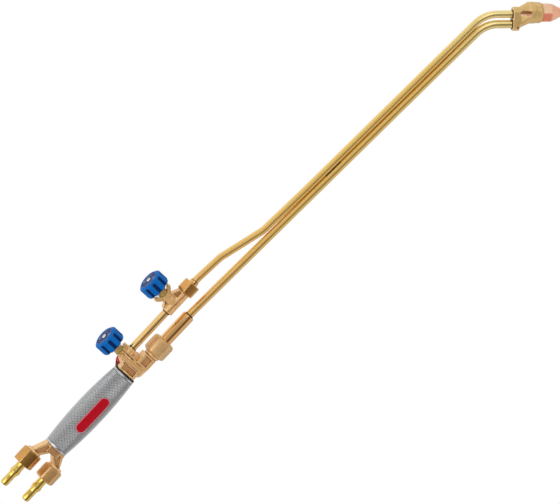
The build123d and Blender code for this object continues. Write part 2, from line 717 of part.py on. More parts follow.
# ---------------------------------------- mixer: nut, injector, its seals, chamber
mixer_axis = facing((MIXER_NUT_X, 0, MIXER_Z), FORWARD)
flange_h = MIXER_THREAD_LENGTH
lip_h = MIXER_NUT_LENGTH - MIXER_NUT_LIP
hex_nut(
    "mixer_nut",
    mixer_axis.offset(0.3),
    MIXER_NUT_FLATS,
    MIXER_NUT_LENGTH - 0.3,
    2.6,
    [
        (0, -1),
        (MIXER_THREAD_R + SLIP, -1),
        (MIXER_THREAD_R + SLIP, lip_h - 0.3),
        (MIXER_R + SLIP, lip_h - 0.3),
        (MIXER_R + SLIP, MIXER_NUT_LENGTH + 1),
        (0, MIXER_NUT_LENGTH + 1),
    ],
)
injector_axis = facing((injector_rear_x, 0, MIXER_Z), FORWARD)
waist_h = 8.0
groove_heights = (3.0, INJECTOR_LENGTH - 12.0)
with BuildPart() as injector:
    turn(
        injector_axis,
        [
            (0, 0),
            (INJECTOR_R, 0),
            (INJECTOR_R, waist_h),
            (INJECTOR_R - 1.2, waist_h + 1),
            (INJECTOR_R - 1.2, waist_h + 7),
            (INJECTOR_R, waist_h + 8),
            (INJECTOR_R, INJECTOR_LENGTH - 6),
            (INJECTOR_JET_R + 1.0, INJECTOR_LENGTH),
            (0, INJECTOR_LENGTH),
        ],
    )
    turn(
        injector_axis,
        [
            (0, -1),
            (1.6, -1),
            (1.6, 24),
            (INJECTOR_JET_R, 26),
            (INJECTOR_JET_R, INJECTOR_LENGTH + 1),
            (0, INJECTOR_LENGTH + 1),
        ],
        mode=Mode.SUBTRACT,
    )
    for groove_h in groove_heights:
        turn(
            injector_axis,
            [(3.0, groove_h), (5.0, groove_h), (5.0, groove_h + 2.0), (3.0, groove_h + 2.0)],
            mode=Mode.SUBTRACT,
        )
finish(injector, "injector")
with BuildPart() as injector_seals:
    for groove_h in groove_heights:
        with BuildSketch(section(injector_axis)) as ring_section:
            with Locations((3.52, groove_h + 1.0)):
                Circle(0.5)
        revolve(ring_section.sketch, axis=axis_of(injector_axis))
finish(injector_seals, "injector_seals")

mixer_front_h = MIXER_NUT_LENGTH + MIXER_LENGTH
tube_socket_h = mixer_front_h - 11.0
turned(
    "mixing_chamber",
    mixer_axis,
    [
        (INJECTOR_R + 0.4, flange_h + SLIP),
        (MIXER_THREAD_R - 0.3, flange_h + SLIP),
        (MIXER_THREAD_R - 0.3, lip_h - 0.1),
        (MIXER_R, lip_h - 0.1),
        (MIXER_R, mixer_front_h - 0.8),
        (MIXER_R - 0.8, mixer_front_h),
        (MIXED_TUBE_R + SLIP, mixer_front_h),
        (MIXED_TUBE_R + SLIP, tube_socket_h),
        (MIXED_TUBE_BORE_R, tube_socket_h),
        (MIXER_THROAT_R, tube_socket_h - 14),
        (MIXER_THROAT_R, flange_h + 12),
    ],
)
mixer_front_x = MIXER_NUT_X + mixer_front_h

# ---------------------------------------- link tube between the two valve bodies
link_front_x = BARREL_REAR_X + LINK_SOCKET
with BuildPart() as link_tube:
    link_start = (LINK_BOSS_X - LINK_SOCKET + 0.2, 0, LINK_Z)
    link_end = (link_front_x - 0.2, 0, LINK_Z)
    rod(link_start, link_end, LINK_TUBE_R)
    rod(link_start, link_end, LINK_TUBE_BORE_R, mode=Mode.SUBTRACT)
finish(link_tube, "link_tube")

# ---------------------------------------- cutting valve body
with BuildPart() as cutting_valve_body:
    rod((BARREL_REAR_X, 0, LINK_Z), (BARREL_FRONT_X, 0, LINK_Z), BARREL_R)
    rod((BARREL_REAR_X, 0, LINK_Z), (BARREL_REAR_X + 3.0, 0, LINK_Z), BARREL_R + 0.8)
    rod((CUTTING_X, 0, LINK_Z), (CUTTING_X, 0, CUTTING_BOSS_Z), VALVE_BOSS_R)
    with BuildSketch(Plane.XZ.offset(-3.5)) as gusset_face:
        with BuildLine():
            Polyline(
                (BARREL_REAR_X + 1, LINK_Z),
                (BARREL_REAR_X + 1, LINK_Z + BARREL_R + 0.5),
                (CUTTING_X - VALVE_BOSS_R - 1.5, LINK_Z + BARREL_R + 1.5),
                (CUTTING_X - VALVE_BOSS_R + 0.5, CUTTING_BOSS_Z - 3.5),
                (CUTTING_X - 12.5, CUTTING_BOSS_Z + 3.5),
                (CUTTING_X - 12.5, CUTTING_BOSS_Z + 6.5),
                (CUTTING_X - 8.0, CUTTING_BOSS_Z + 6.5),
                (CUTTING_X - 4.0, CUTTING_BOSS_Z - 1),
                (CUTTING_X + 4.0, CUTTING_BOSS_Z - 1),
                (CUTTING_X + 8.0, CUTTING_BOSS_Z + 6.5),
                (CUTTING_X + 12.5, CUTTING_BOSS_Z + 6.5),
                (CUTTING_X + 12.5, CUTTING_BOSS_Z + 4.0),
                (CUTTING_X + VALVE_BOSS_R + 1.0, CUTTING_BOSS_Z - 3.0),
                (BARREL_FRONT_X, LINK_Z + BARREL_R),
                (BARREL_FRONT_X, LINK_Z),
                close=True,
            )
        make_face()
    extrude(gusset_face.sketch, amount=7.0)
    for face_y, depth in ((-3.5, 1.6), (3.5, -1.6)):
        with BuildSketch(Plane.XZ.offset(-face_y)) as recess:
            with BuildLine():
                Polyline(
                    (CUTTING_X + VALVE_BOSS_R + 0.5, LINK_Z + BARREL_R - 0.2),
                    (CUTTING_X + VALVE_BOSS_R + 0.5, CUTTING_BOSS_Z - 6.0),
                    (BARREL_FRONT_X - 2.5, LINK_Z + BARREL_R - 0.2),
                    close=True,
                )
            make_face()
        extrude(recess.sketch, amount=-depth, mode=Mode.SUBTRACT)
    turn(
        valves["cutting_oxygen"],
        [(0, 0), (PACKING_NUT_FLATS * 0.65, 0), (PACKING_NUT_FLATS * 0.65, 8), (0, 8)],
        mode=Mode.SUBTRACT,
    )
    thread_end_x = BARREL_FRONT_X + OUTLET_THREAD_LENGTH
    rod((BARREL_FRONT_X, 0, LINK_Z), (thread_end_x, 0, LINK_Z), OUTLET_THREAD_R)
    bore_for_valve(valves["cutting_oxygen"])
    cutting_seat_z = CUTTING_BOSS_Z - SEAT_DEPTH
    rod((BARREL_REAR_X, 0, LINK_Z), (link_front_x, 0, LINK_Z), LINK_TUBE_R + SLIP, mode=Mode.SUBTRACT)
    passages = [
        ((link_front_x - 1, 0, LINK_Z + 0.8), (CUTTING_X, 0, cutting_seat_z + 1.9), 1.8),
        ((CUTTING_X, 0, cutting_seat_z), (CUTTING_X, 0, cutting_seat_z - 5), SEAT_R),
        ((CUTTING_X, 0, cutting_seat_z - 3.8), (BARREL_FRONT_X - 3, 0, LINK_Z - 0.6), 1.4),
        ((BARREL_FRONT_X - 5, 0, LINK_Z), (thread_end_x + 1, 0, LINK_Z), 2.6),
    ]
    for start, end, radius in passages:
        rod(start, end, radius, mode=Mode.SUBTRACT)
finish(cutting_valve_body, "cutting_valve_body")

# ---------------------------------------- outlet nut and the ferrule brazed on the tube
outlet_axis = facing((BARREL_FRONT_X, 0, LINK_Z), FORWARD)
lip_h = OUTLET_NUT_LENGTH - OUTLET_NUT_LIP
hex_nut(
    "cutting_outlet_nut",
    outlet_axis.offset(0.3),
    OUTLET_NUT_FLATS,
    OUTLET_NUT_LENGTH - 0.3,
    1.2,
    [
        (0, -1),
        (OUTLET_THREAD_R + SLIP, -1),
        (OUTLET_THREAD_R + SLIP, lip_h - 0.3),
        (FERRULE_R + SLIP, lip_h - 0.3),
        (FERRULE_R + SLIP, OUTLET_NUT_LENGTH + 1),
        (0, OUTLET_NUT_LENGTH + 1),
    ],
)
ferrule_front_h = OUTLET_NUT_LENGTH + FERRULE_REACH
tube_stop_h = OUTLET_THREAD_LENGTH + 2.5
turned(
    "cutting_tube_ferrule",
    outlet_axis,
    [
        (CUTTING_TUBE_BORE_R, OUTLET_THREAD_LENGTH + SLIP),
        (OUTLET_THREAD_R - 0.2, OUTLET_THREAD_LENGTH + SLIP),
        (OUTLET_THREAD_R - 0.2, lip_h - 0.1),
        (FERRULE_R, lip_h - 0.1),
        (FERRULE_R, ferrule_front_h - 0.6),
        (FERRULE_R - 0.6, ferrule_front_h),
        (CUTTING_TUBE_R + SLIP, ferrule_front_h),
        (CUTTING_TUBE_R + SLIP, tube_stop_h),
        (CUTTING_TUBE_BORE_R, tube_stop_h),
    ],
)

# ---------------------------------------- routes of the two long tubes
droop = tan(radians(TUBE_DROOP))
droop_x = mixer_front_x + 6.5
tube_pitch = CUTTING_TUBE_R + MIXED_TUBE_R + TUBE_TOUCH


def mixed_line_z(x):
    """Height of the mixed-gas tube's axis on its long straight run."""
    return MIXER_Z - droop * (x - droop_x)


def cutting_line_z(x):
    """Height of the cutting-oxygen tube's axis where it lies on the mixed-gas tube."""
    return mixed_line_z(x) + tube_pitch / cos(radians(TUBE_DROOP))


head_angle = radians(TUBE_DROOP + HEAD_BEND)
head_dir = Vector(cos(head_angle), 0, -sin(head_angle))
head_up = Vector(sin(head_angle), 0, cos(head_angle))
head_corner = Vector(HEAD_BEND_X, 0, cutting_line_z(HEAD_BEND_X))


def on_head(along, up=0.0, side=0.0):
    """A point along the head's axis from the bend, raised above that axis and moved to the far side."""
    return tuple(head_corner + head_dir * along + head_up * up + Vector(0, side, 0))


def bend_corner(line_z, up):
    """Where a tube's long run meets its own line into the head, up above the head's axis."""
    start = Vector(*on_head(0, up))
    onward = (start.Z - line_z(start.X)) / (tan(head_angle) - droop)
    return (start.X + onward, 0, line_z(start.X + onward))


cutting_up = -HEAD_TUBE_DROP
mixed_up = -HEAD_TUBE_DROP - HEAD_TUBE_SPACING
tube_end_t = HEAD_FLANGE_T + HEAD_SOCKET
cutting_start_x = BARREL_FRONT_X + tube_stop_h + 0.1
cutting_route = [
    (cutting_start_x, 0, LINK_Z),
    (BARREL_FRONT_X + ferrule_front_h + SETTLE_BEND_REACH, 0, LINK_Z),
    (OFFSET_BEND_X, 0, LINK_Z - SETTLE_DROP),
    (JOIN_BEND_X, 0, cutting_line_z(JOIN_BEND_X) + JOIN_LIFT),
    (TOUCH_BEND_X, 0, cutting_line_z(TOUCH_BEND_X)),
    bend_corner(cutting_line_z, cutting_up),
    on_head(tube_end_t - 0.2, cutting_up),
]
cutting_bend_radii = [SETTLE_BEND_R, OFFSET_BEND_R, OFFSET_BEND_R, TOUCH_BEND_R, HEAD_BEND_R]
mixed_start_x = MIXER_NUT_X + tube_socket_h + 0.1
mixed_route = [
    (mixed_start_x, 0, MIXER_Z),
    (droop_x, 0, MIXER_Z),
    bend_corner(mixed_line_z, mixed_up),
    on_head(tube_end_t - 0.2, mixed_up),
]
mixed_bend_radii = [DROOP_BEND_R, HEAD_BEND_R]


def bent_tube(name, route, bend_radii, radius, bore_radius):
    """A tube swept along straight runs and bends; prints its volume over section times length."""
    with BuildPart() as tube:
        with BuildLine() as path:
            FilletPolyline(*route, radius=bend_radii)
        with BuildSketch(facing(route[0], FORWARD)) as ring:
            Circle(radius)
            Circle(bore_radius, mode=Mode.SUBTRACT)
        sweep(ring.sketch, path=path.wires()[0])
    wanted = ring.sketch.area * path.wires()[0].length
    print(f"{name}: volume over section times length = {tube.part.volume / wanted:.4f}")
    finish(tube, name)


bent_tube("cutting_oxygen_tube", cutting_route, cutting_bend_radii, CUTTING_TUBE_R, CUTTING_TUBE_BORE_R)
bent_tube("mixed_gas_tube", mixed_route, mixed_bend_radii, MIXED_TUBE_R, MIXED_TUBE_BORE_R)

# ---------------------------------------- torch head
neck_t = HEAD_FLANGE_T + HEAD_FLANGE_LENGTH
shoulder_t = neck_t + HEAD_NECK_LENGTH
front_t = shoulder_t + HEAD_SHOULDER_LENGTH
nozzle_t = front_t + HEAD_FRONT_LENGTH
head_plane = facing(on_head(0), tuple(head_dir))
with BuildPart() as torch_head:
    with BuildSketch(head_plane.offset(HEAD_FLANGE_T)) as flange:
        with Locations((HEAD_FLANGE_SPAN / 2, 0)):
            SlotCenterToCenter(HEAD_FLANGE_SPAN, HEAD_FLANGE_R * 2)
    extrude(flange.sketch, amount=HEAD_FLANGE_LENGTH)
    chamfer(torch_head.faces().sort_by(Axis(on_head(0), tuple(head_dir)))[0].edges(), 1.2)
    turn(
        head_plane,
        [(0, neck_t - 1), (HEAD_FLANGE_R, neck_t - 1), (HEAD_R, shoulder_t), (0, shoulder_t)],
    )
    with BuildSketch(Plane(origin=on_head(0, 0, NECK_WIDTH / 2), x_dir=head_dir, z_dir=(0, -1, 0))) as wedge:
        with BuildLine():
            Polyline(
                (neck_t - 1, 0),
                (neck_t - 1, -HEAD_FLANGE_SPAN - HEAD_FLANGE_R + 3.2),
                (shoulder_t + 1, -HEAD_R + 0.8),
                (shoulder_t + 1, 0),
                close=True,
            )
        make_face()
    extrude(wedge.sketch, amount=NECK_WIDTH)
    turn(
        head_plane,
        [
            (0, shoulder_t - 0.5),
            (HEAD_R, shoulder_t - 0.5),
            (HEAD_R, front_t - 0.4),
            (HEAD_FRONT_R, front_t),
            (HEAD_FRONT_R, nozzle_t - 2.2),
            (HEAD_FRONT_R - 1.3, nozzle_t - 0.6),
            (HEAD_FRONT_R - 1.3, nozzle_t),
            (0, nozzle_t),
        ],
    )
    pocket_plane = Plane(origin=on_head(0, 0, -HEAD_R + 2.8), x_dir=head_dir, z_dir=(0, -1, 0))
    with BuildSketch(pocket_plane) as pocket:
        with Locations((front_t - 6.8, 1.3)):
            RectangleRounded(13.6, 7.0, 0.8)
    extrude(pocket.sketch, amount=6.0, mode=Mode.SUBTRACT)
    for up, radius in ((cutting_up, CUTTING_TUBE_R), (mixed_up, MIXED_TUBE_R)):
        rod(on_head(HEAD_FLANGE_T - 1, up), on_head(tube_end_t, up), radius + SLIP, mode=Mode.SUBTRACT)
    rod(on_head(tube_end_t - 1, cutting_up), on_head(nozzle_t - 8), 2.0, mode=Mode.SUBTRACT)
    rod(on_head(tube_end_t - 1, mixed_up), on_head(nozzle_t - 10.5, -6.5), 2.2, mode=Mode.SUBTRACT)
    turn(
        head_plane,
        [
            (0, nozzle_t + 1),
            (NOZZLE_THREAD_R + SLIP, nozzle_t + 1),
            (NOZZLE_THREAD_R + SLIP, nozzle_t - 9),
            (7.6, nozzle_t - 9),
            (7.6, nozzle_t - 15),
            (0, nozzle_t - 15),
        ],
        mode=Mode.SUBTRACT,
    )
    dimple = (HEAD_FLANGE_T + 6.0, -HEAD_FLANGE_SPAN - 2.6)
    rod(on_head(*dimple, -9), on_head(*dimple, -4.8), 1.0, mode=Mode.SUBTRACT)
finish(torch_head, "torch_head")

# ---------------------------------------- copper outer nozzle and the brass inner one
nozzle_plane = head_plane.offset(nozzle_t + 0.3)
corner_r = NOZZLE_FLATS / 2 / cos(radians(30))
cone_h = NOZZLE_LENGTH - 3.0
with BuildPart() as outer_nozzle:
    with BuildSketch(nozzle_plane) as hexagon:
        RegularPolygon(NOZZLE_FLATS / 2, 6, major_radius=False, rotation=NOZZLE_TURN)
    extrude(hexagon.sketch, amount=NOZZLE_LENGTH)
    turn(
        nozzle_plane,
        [
            (0, 0),
            (corner_r - NOZZLE_CORNER_TRIM - 0.4, 0),
            (corner_r - NOZZLE_CORNER_TRIM, 0.6),
            (corner_r - NOZZLE_CORNER_TRIM, NOZZLE_HEX_LENGTH),
            (corner_r - 3.0, NOZZLE_HEX_LENGTH + 5.0),
            (NOZZLE_TIP_R, cone_h + 0.7),
            (NOZZLE_TIP_R - 1.0, NOZZLE_LENGTH - 0.9),
            (NOZZLE_TIP_R - 2.1, NOZZLE_LENGTH - 0.1),
            (0, NOZZLE_LENGTH),
        ],
        mode=Mode.INTERSECT,
    )
    turn(
        nozzle_plane,
        [(0, -8.5), (NOZZLE_THREAD_R, -8.5), (NOZZLE_THREAD_R, 0.5), (0, 0.5)],
    )
    turn(
        nozzle_plane,
        [
            (0, -9),
            (6.6, -9),
            (6.6, NOZZLE_HEX_LENGTH + 2),
            (INNER_NOZZLE_R + 0.9, cone_h),
            (INNER_NOZZLE_R + 0.9, NOZZLE_LENGTH + 1),
            (0, NOZZLE_LENGTH + 1),
        ],
        mode=Mode.SUBTRACT,
    )
finish(outer_nozzle, "outer_nozzle")
turned(
    "inner_nozzle",
    nozzle_plane,
    [
        (1.5, -14.8),
        (7.4, -14.8),
        (7.4, -13.2),
        (5.6, -12.8),
        (5.6, NOZZLE_HEX_LENGTH - 2),
        (INNER_NOZZLE_R, cone_h - 1.5),
        (INNER_NOZZLE_R, NOZZLE_LENGTH - 0.6),
        (0.9, NOZZLE_LENGTH - 0.6),
        (0.9, cone_h - 4),
        (1.5, cone_h - 5),
    ],
)

# ---------------------------------------- braze: a fillet at each tube joint and one tack
joints = [
    (facing((LINK_BOSS_X, 0, LINK_Z), FORWARD), LINK_TUBE_R, 1.0),
    (facing((BARREL_REAR_X, 0, LINK_Z), (-1, 0, 0)), LINK_TUBE_R, BRAZE_LEG),
    (facing((BARREL_FRONT_X + ferrule_front_h, 0, LINK_Z), FORWARD), CUTTING_TUBE_R, 0.7),
    (facing((mixer_front_x, 0, MIXER_Z), FORWARD), MIXED_TUBE_R, BRAZE_LEG),
    (facing(on_head(HEAD_FLANGE_T, cutting_up), tuple(-head_dir)), CUTTING_TUBE_R, HEAD_BRAZE_LEG),
    (facing(on_head(HEAD_FLANGE_T, mixed_up), tuple(-head_dir)), MIXED_TUBE_R, HEAD_BRAZE_LEG),
]
with BuildPart() as braze_fillets:
    for joint_plane, tube_r, leg in joints:
        ring_r = tube_r + SLIP
        with BuildSketch(section(joint_plane)) as fillet_section:
            with BuildLine():
                Polyline((ring_r, leg), (ring_r, 0.01), (ring_r + leg, 0.01))
                ThreePointArc((ring_r + leg, 0.01), (ring_r + leg * 0.35, leg * 0.35), (ring_r, leg))
            make_face()
        revolve(fillet_section.sketch, axis=axis_of(joint_plane))
finish(braze_fillets, "braze_fillets")

tube_run = (1, 0, -droop)
tack_plane = facing((TACK_X, 0, mixed_line_z(TACK_X)), tube_run)
with BuildPart() as tube_tack:
    with BuildSketch(tack_plane) as groove:
        with Locations((-MIXED_TUBE_R - TUBE_TOUCH / 2, 0)):
            Rectangle(3.4, 5.2)
        Circle(MIXED_TUBE_R + 0.02, mode=Mode.SUBTRACT)
        with Locations((-tube_pitch, 0)):
            Circle(CUTTING_TUBE_R + 0.02, mode=Mode.SUBTRACT)
    extrude(groove.sketch, amount=TACK_LENGTH)
finish(tube_tack, "tube_tack")
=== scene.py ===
from math import atan2, cos, hypot, pi, radians, sin, tan

import bmesh
import bpy
from mathutils import Matrix, Vector
from mathutils.bvhtree import BVHTree


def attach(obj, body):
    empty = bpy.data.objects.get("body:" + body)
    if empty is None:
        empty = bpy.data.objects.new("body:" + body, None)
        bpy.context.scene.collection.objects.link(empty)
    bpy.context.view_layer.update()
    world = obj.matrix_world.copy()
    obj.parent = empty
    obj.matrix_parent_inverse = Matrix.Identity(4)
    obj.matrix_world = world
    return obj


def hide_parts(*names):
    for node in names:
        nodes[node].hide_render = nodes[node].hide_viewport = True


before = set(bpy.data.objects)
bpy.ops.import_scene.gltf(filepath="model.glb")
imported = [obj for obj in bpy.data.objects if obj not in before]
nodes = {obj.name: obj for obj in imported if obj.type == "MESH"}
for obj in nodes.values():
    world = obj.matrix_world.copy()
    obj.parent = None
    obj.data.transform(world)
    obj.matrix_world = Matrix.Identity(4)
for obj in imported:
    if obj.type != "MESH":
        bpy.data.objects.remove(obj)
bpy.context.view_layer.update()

# ---- Camera -----------------------------------------------------------------------------------
# A long lens well back from the torch, looking down at it a little from its near side. It is rolled so
# that the torch climbs from the hose tails at the lower left to the nozzle at the upper right.
look_down = radians(21.0)
roll = radians(46.8)
aim = Vector((0.3067, 0.0, -0.0399))
distance = 5.0
frame_width = 0.700
sensor_width = 36.0  # in millimetres, as a lens is; the lengths above are in metres

level_up = Vector((0.0, sin(look_down), cos(look_down)))
along = Vector((1.0, 0.0, 0.0))
camera_right = along * cos(roll) - level_up * sin(roll)
camera_up = along * sin(roll) + level_up * cos(roll)
camera_back = camera_right.cross(camera_up)

camera = bpy.data.objects.new("camera", bpy.data.cameras.new("camera"))
camera.data.sensor_width = sensor_width
camera.data.lens = sensor_width * distance / frame_width
camera.data.clip_end = 50.0
turned = Matrix((camera_right, camera_up, camera_back)).transposed().to_4x4()
camera.matrix_world = Matrix.Translation(aim + camera_back * distance) @ turned
bpy.context.scene.collection.objects.link(camera)
bpy.context.scene.camera = camera
bpy.context.scene.view_settings.view_transform = "Standard"


# ---- Studio -----------------------------------------------------------------------------------
# A white sweep under the torch, two large soft panels, and a sky banded from dark to light round it, as
# white walls with black cards between them are. The bands give the polished tubes their stripes.
class Signal:
    """The output of one node. Sums written on it add Math nodes."""

    def __init__(self, tree, socket):
        self.tree = tree
        self.socket = socket

    def math(self, operation, *values):
        return node(self.tree, "ShaderNodeMath", {"operation": operation}, dict(enumerate((self, *values))))

    def __add__(self, other):
        return self.math("ADD", other)

    def __sub__(self, other):
        return self.math("SUBTRACT", other)

    def __mul__(self, other):
        return self.math("MULTIPLY", other)

    def __truediv__(self, other):
        return self.math("DIVIDE", other)

    def __lt__(self, other):
        return self.math("LESS_THAN", other)

    def __gt__(self, other):
        return self.math("GREATER_THAN", other)

    def __rsub__(self, other):
        return node(self.tree, "ShaderNodeMath", {"operation": "SUBTRACT"}, {0: other, 1: self})

    __radd__ = __add__
    __rmul__ = __mul__


def node(tree, kind, settings=None, values=None, output=0):
    """One node: its settings first, then a number, colour or link for each socket named."""
    made = tree.nodes.new(kind)
    for name, value in (settings or {}).items():
        if name == "stops":
            ramp = made.color_ramp
            while len(ramp.elements) < len(value):
                ramp.elements.new(1.0)
            for element, (place, colour) in zip(ramp.elements, value):
                rgb = colour if isinstance(colour, tuple) else (colour, colour, colour)
                element.position = place
                element.color = (*rgb, 1.0)
        else:
            setattr(made, name, value)
    for name, value in (values or {}).items():
        if isinstance(value, Signal):
            tree.links.new(value.socket, made.inputs[name])
        else:
            made.inputs[name].default_value = value
    return Signal(tree, made.outputs[output] if made.outputs else None)


sky = bpy.data.worlds.new("studio")
sky.use_nodes = True
sky.node_tree.nodes.clear()
bpy.context.scene.world = sky
direction = node(sky.node_tree, "ShaderNodeTexCoord")
toward = node(sky.node_tree, "ShaderNodeSeparateXYZ", values={0: direction})
toward_y = Signal(sky.node_tree, toward.socket.node.outputs["Y"])
toward_z = Signal(sky.node_tree, toward.socket.node.outputs["Z"])
# 0.5 is level and on the near side, 0.75 overhead, 0.25 straight down, and 0 and 1 level behind the torch.
height_angle = toward_z.math("ARCTAN2", toward_y * -1.0) / (2 * pi) + 0.5
cards = [
    (0.00, 0.86),
    (0.10, 0.60),
    (0.18, 0.46),
    (0.26, 0.68),
    (0.32, (0.82, 0.80, 0.80)),
    (0.37, (0.58, 0.55, 0.58)),
    (0.415, (0.21, 0.18, 0.15)),
    (0.455, (0.11, 0.075, 0.04)),
    (0.49, (0.22, 0.19, 0.15)),
    (0.525, 0.44),
    (0.56, 0.54),
    (0.62, 0.48),
    (0.67, 0.66),
    (0.71, 0.76),
    (0.78, 0.95),
    (0.88, 0.95),
    (1.00, 0.86),
]
panels = node(sky.node_tree, "ShaderNodeValToRGB", {"stops": cards}, {0: height_angle})
seen = node(sky.node_tree, "ShaderNodeLightPath")
studio_light = node(sky.node_tree, "ShaderNodeBackground", values={"Color": panels, "Strength": 0.95})
white = node(sky.node_tree, "ShaderNodeBackground", values={"Color": (1, 1, 1, 1), "Strength": 1.0})
both = node(sky.node_tree, "ShaderNodeMixShader", values={0: seen, 1: studio_light, 2: white})
node(sky.node_tree, "ShaderNodeOutputWorld", values={0: both})

for name, place, size, power in (
    ("key_panel", (-1.6, -2.2, 2.6), 3.0, 44.0),
    ("fill_panel", (2.0, -2.0, 1.0), 2.0, 10.0),
):
    panel = bpy.data.objects.new(name, bpy.data.lights.new(name, "AREA"))
    panel.data.size = size
    panel.data.energy = power
    panel.location = place
    panel.rotation_euler = (Vector(place) - aim).to_track_quat("Z", "Y").to_euler()
    bpy.context.scene.collection.objects.link(panel)

floor_mesh = bmesh.new()
floor_height = -1.2
bmesh.ops.create_grid(floor_mesh, x_segments=1, y_segments=1, size=12.0)
bmesh.ops.translate(floor_mesh, vec=(0.0, 0.0, floor_height), verts=floor_mesh.verts)
floor_data = bpy.data.meshes.new("floor")
floor_mesh.to_mesh(floor_data)
floor = bpy.data.objects.new("floor", floor_data)
floor.visible_glossy = False
bpy.context.scene.collection.objects.link(floor)
paper = bpy.data.materials.new("paper")
paper.use_nodes = True
paper_tree = paper.node_tree
paper_shader = paper_tree.nodes["Principled BSDF"]
paper_shader.inputs["Base Color"].default_value = (0.9, 0.9, 0.9, 1.0)
paper_shader.inputs["Roughness"].default_value = 0.9
bright = node(paper_tree, "ShaderNodeEmission", values={"Color": (1, 1, 1, 1), "Strength": 1.0})
looked_at = node(paper_tree, "ShaderNodeLightPath")
shown = node(
    paper_tree,
    "ShaderNodeMixShader",
    values={0: looked_at, 1: Signal(paper_tree, paper_shader.outputs[0]), 2: bright},
)
paper_tree.links.new(shown.socket, paper_tree.nodes["Material Output"].inputs[0])
floor.data.materials.append(paper)


# ---- Handle -----------------------------------------------------------------------------------
# A barrel-shaped aluminium sleeve, turned from bar, with a diamond knurl rolled into it between two plain
# bands. The knurl's points are real geometry, so they catch the light at the edge of the barrel.
class Finish:
    """A material for one surface: Principled, with patterns worked out on Object coordinates."""

    def __init__(self, name, **shader):
        self.material = bpy.data.materials.new(name)
        self.material.use_nodes = True
        self.tree = self.material.node_tree
        self.shader = self.tree.nodes["Principled BSDF"]
        for socket, value in shader.items():
            self.shader.inputs[socket.replace("_", " ")].default_value = value

    def node(self, kind, settings=None, values=None, output=0):
        return node(self.tree, kind, settings, values, output)

    def place(self, centre=(0.0, 0.0, 0.0), turn=(0.0, 0.0, 0.0), stretch=(1.0, 1.0, 1.0)):
        """Object coordinates, centred on a point given in millimetres, turned and stretched."""
        here = self.node("ShaderNodeTexCoord", output=3)
        settings = {"vector_type": "TEXTURE"}
        values = {0: here, 1: [c / 1000 for c in centre], 2: turn, 3: stretch}
        return self.node("ShaderNodeMapping", settings, values)

    def axes(self, place):
        parts = self.node("ShaderNodeSeparateXYZ", values={0: place})
        return [Signal(self.tree, parts.socket.node.outputs[n]) for n in "XYZ"]

    def noise(self, size, detail=3.0, place=None):
        """Noise between 0 and 1 whose blotches are about that many millimetres across."""
        values = {"Scale": 1000.0 / size, "Detail": detail}
        values["Vector"] = place or self.place()
        return self.node("ShaderNodeTexNoise", values=values)

    def ramp(self, signal, *stops):
        return self.node("ShaderNodeValToRGB", {"stops": list(stops)}, {0: signal})

    def mix(self, amount, first, second):
        first = first if isinstance(first, Signal) else (*first, 1.0)
        second = second if isinstance(second, Signal) else (*second, 1.0)
        return self.node("ShaderNodeMix", {"data_type": "RGBA"}, {0: amount, 6: first, 7: second}, 2)

    def feed(self, **sockets):
        for name, signal in sockets.items():
            self.tree.links.new(signal.socket, self.shader.inputs[name.replace("_", " ")])
        return self

    def bump(self, height, depth):
        """A bump whose highest point stands that many millimetres above its lowest."""
        values = {"Height": height, "Strength": 1.0, "Distance": depth / 1000}
        return self.feed(Normal=self.node("ShaderNodeBump", values=values))


def paint(*levels):
    """A colour given the way a paint chart does: red, green and blue from 0 to 255."""
    shares = [level / 255 for level in levels]
    return tuple(c / 12.92 if c < 10 / 255 else ((c + 0.055) / 1.055) ** 2.4 for c in shares)


def seat(origin, forward, up):
    """The matrix that stands a piece, made along +Z, on an origin with its length forward and its +Y up."""
    forward = Vector(forward).normalized()
    side = Vector(up).cross(forward).normalized()
    turn = Matrix((side, forward.cross(side), forward)).transposed().to_4x4()
    return Matrix.Translation(Vector(origin)) @ turn


def lying(x, z=0.0, forward=1):
    """The matrix that lays a piece along the torch from x, at height z, pointing forward or back."""
    return seat((x, 0, z), (forward, 0, 0), (0, 0, 1))


def lathe(shape, outline, steps=64, place=Matrix.Identity(4)):
    """Spins an outline of (radius, height) points once round +Z, and puts the result in its place."""
    verts = [shape.verts.new((radius, 0.0, height)) for radius, height in outline]
    edges = [shape.edges.new(pair) for pair in zip(verts, verts[1:])]
    before = set(shape.verts) - set(verts)
    bmesh.ops.spin(
        shape,
        geom=verts + edges,
        cent=(0, 0, 0),
        axis=(0, 0, 1),
        angle=2 * pi,
        steps=steps,
        use_merge=True,
        use_duplicate=False,
    )
    new = [v for v in shape.verts if v not in before]
    bmesh.ops.remove_doubles(shape, verts=new, dist=0.0001)
    new = [v for v in shape.verts if v not in before]
    bmesh.ops.transform(shape, matrix=place, verts=new)


def settle(name, shape, body, replaced, finish, sharp=35.0):
    """Turns a shape in millimetres into a finished piece that rides on a body in place of CAD nodes."""
    bmesh.ops.recalc_face_normals(shape, faces=shape.faces)
    bmesh.ops.scale(shape, vec=(0.001, 0.001, 0.001), verts=shape.verts)
    mesh = bpy.data.meshes.new(name)
    shape.to_mesh(mesh)
    shape.free()
    mesh.shade_smooth()
    mesh.set_sharp_from_angle(angle=radians(sharp))
    piece = bpy.data.objects.new(name, mesh)
    bpy.context.scene.collection.objects.link(piece)
    for look in finish if isinstance(finish, (list, tuple)) else (finish,):
        mesh.materials.append(look.material)
    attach(piece, body)
    if replaced:
        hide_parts(*replaced)


handle_rear = -62.5
handle_front = 62.5
handle_end_radius = 15.75
handle_belly_radius = 19.35
plain_band = 2.6
knurl_pitch = 2.9
knurl_columns = 40
knurl_height = 0.8


def handle_radius(x):
    """The barrel's radius at x, on an arc through both ends and the belly."""
    rise = handle_belly_radius - handle_end_radius
    sweep = (handle_front**2 + rise**2) / (2 * rise)
    return handle_belly_radius - sweep + (sweep**2 - x**2) ** 0.5


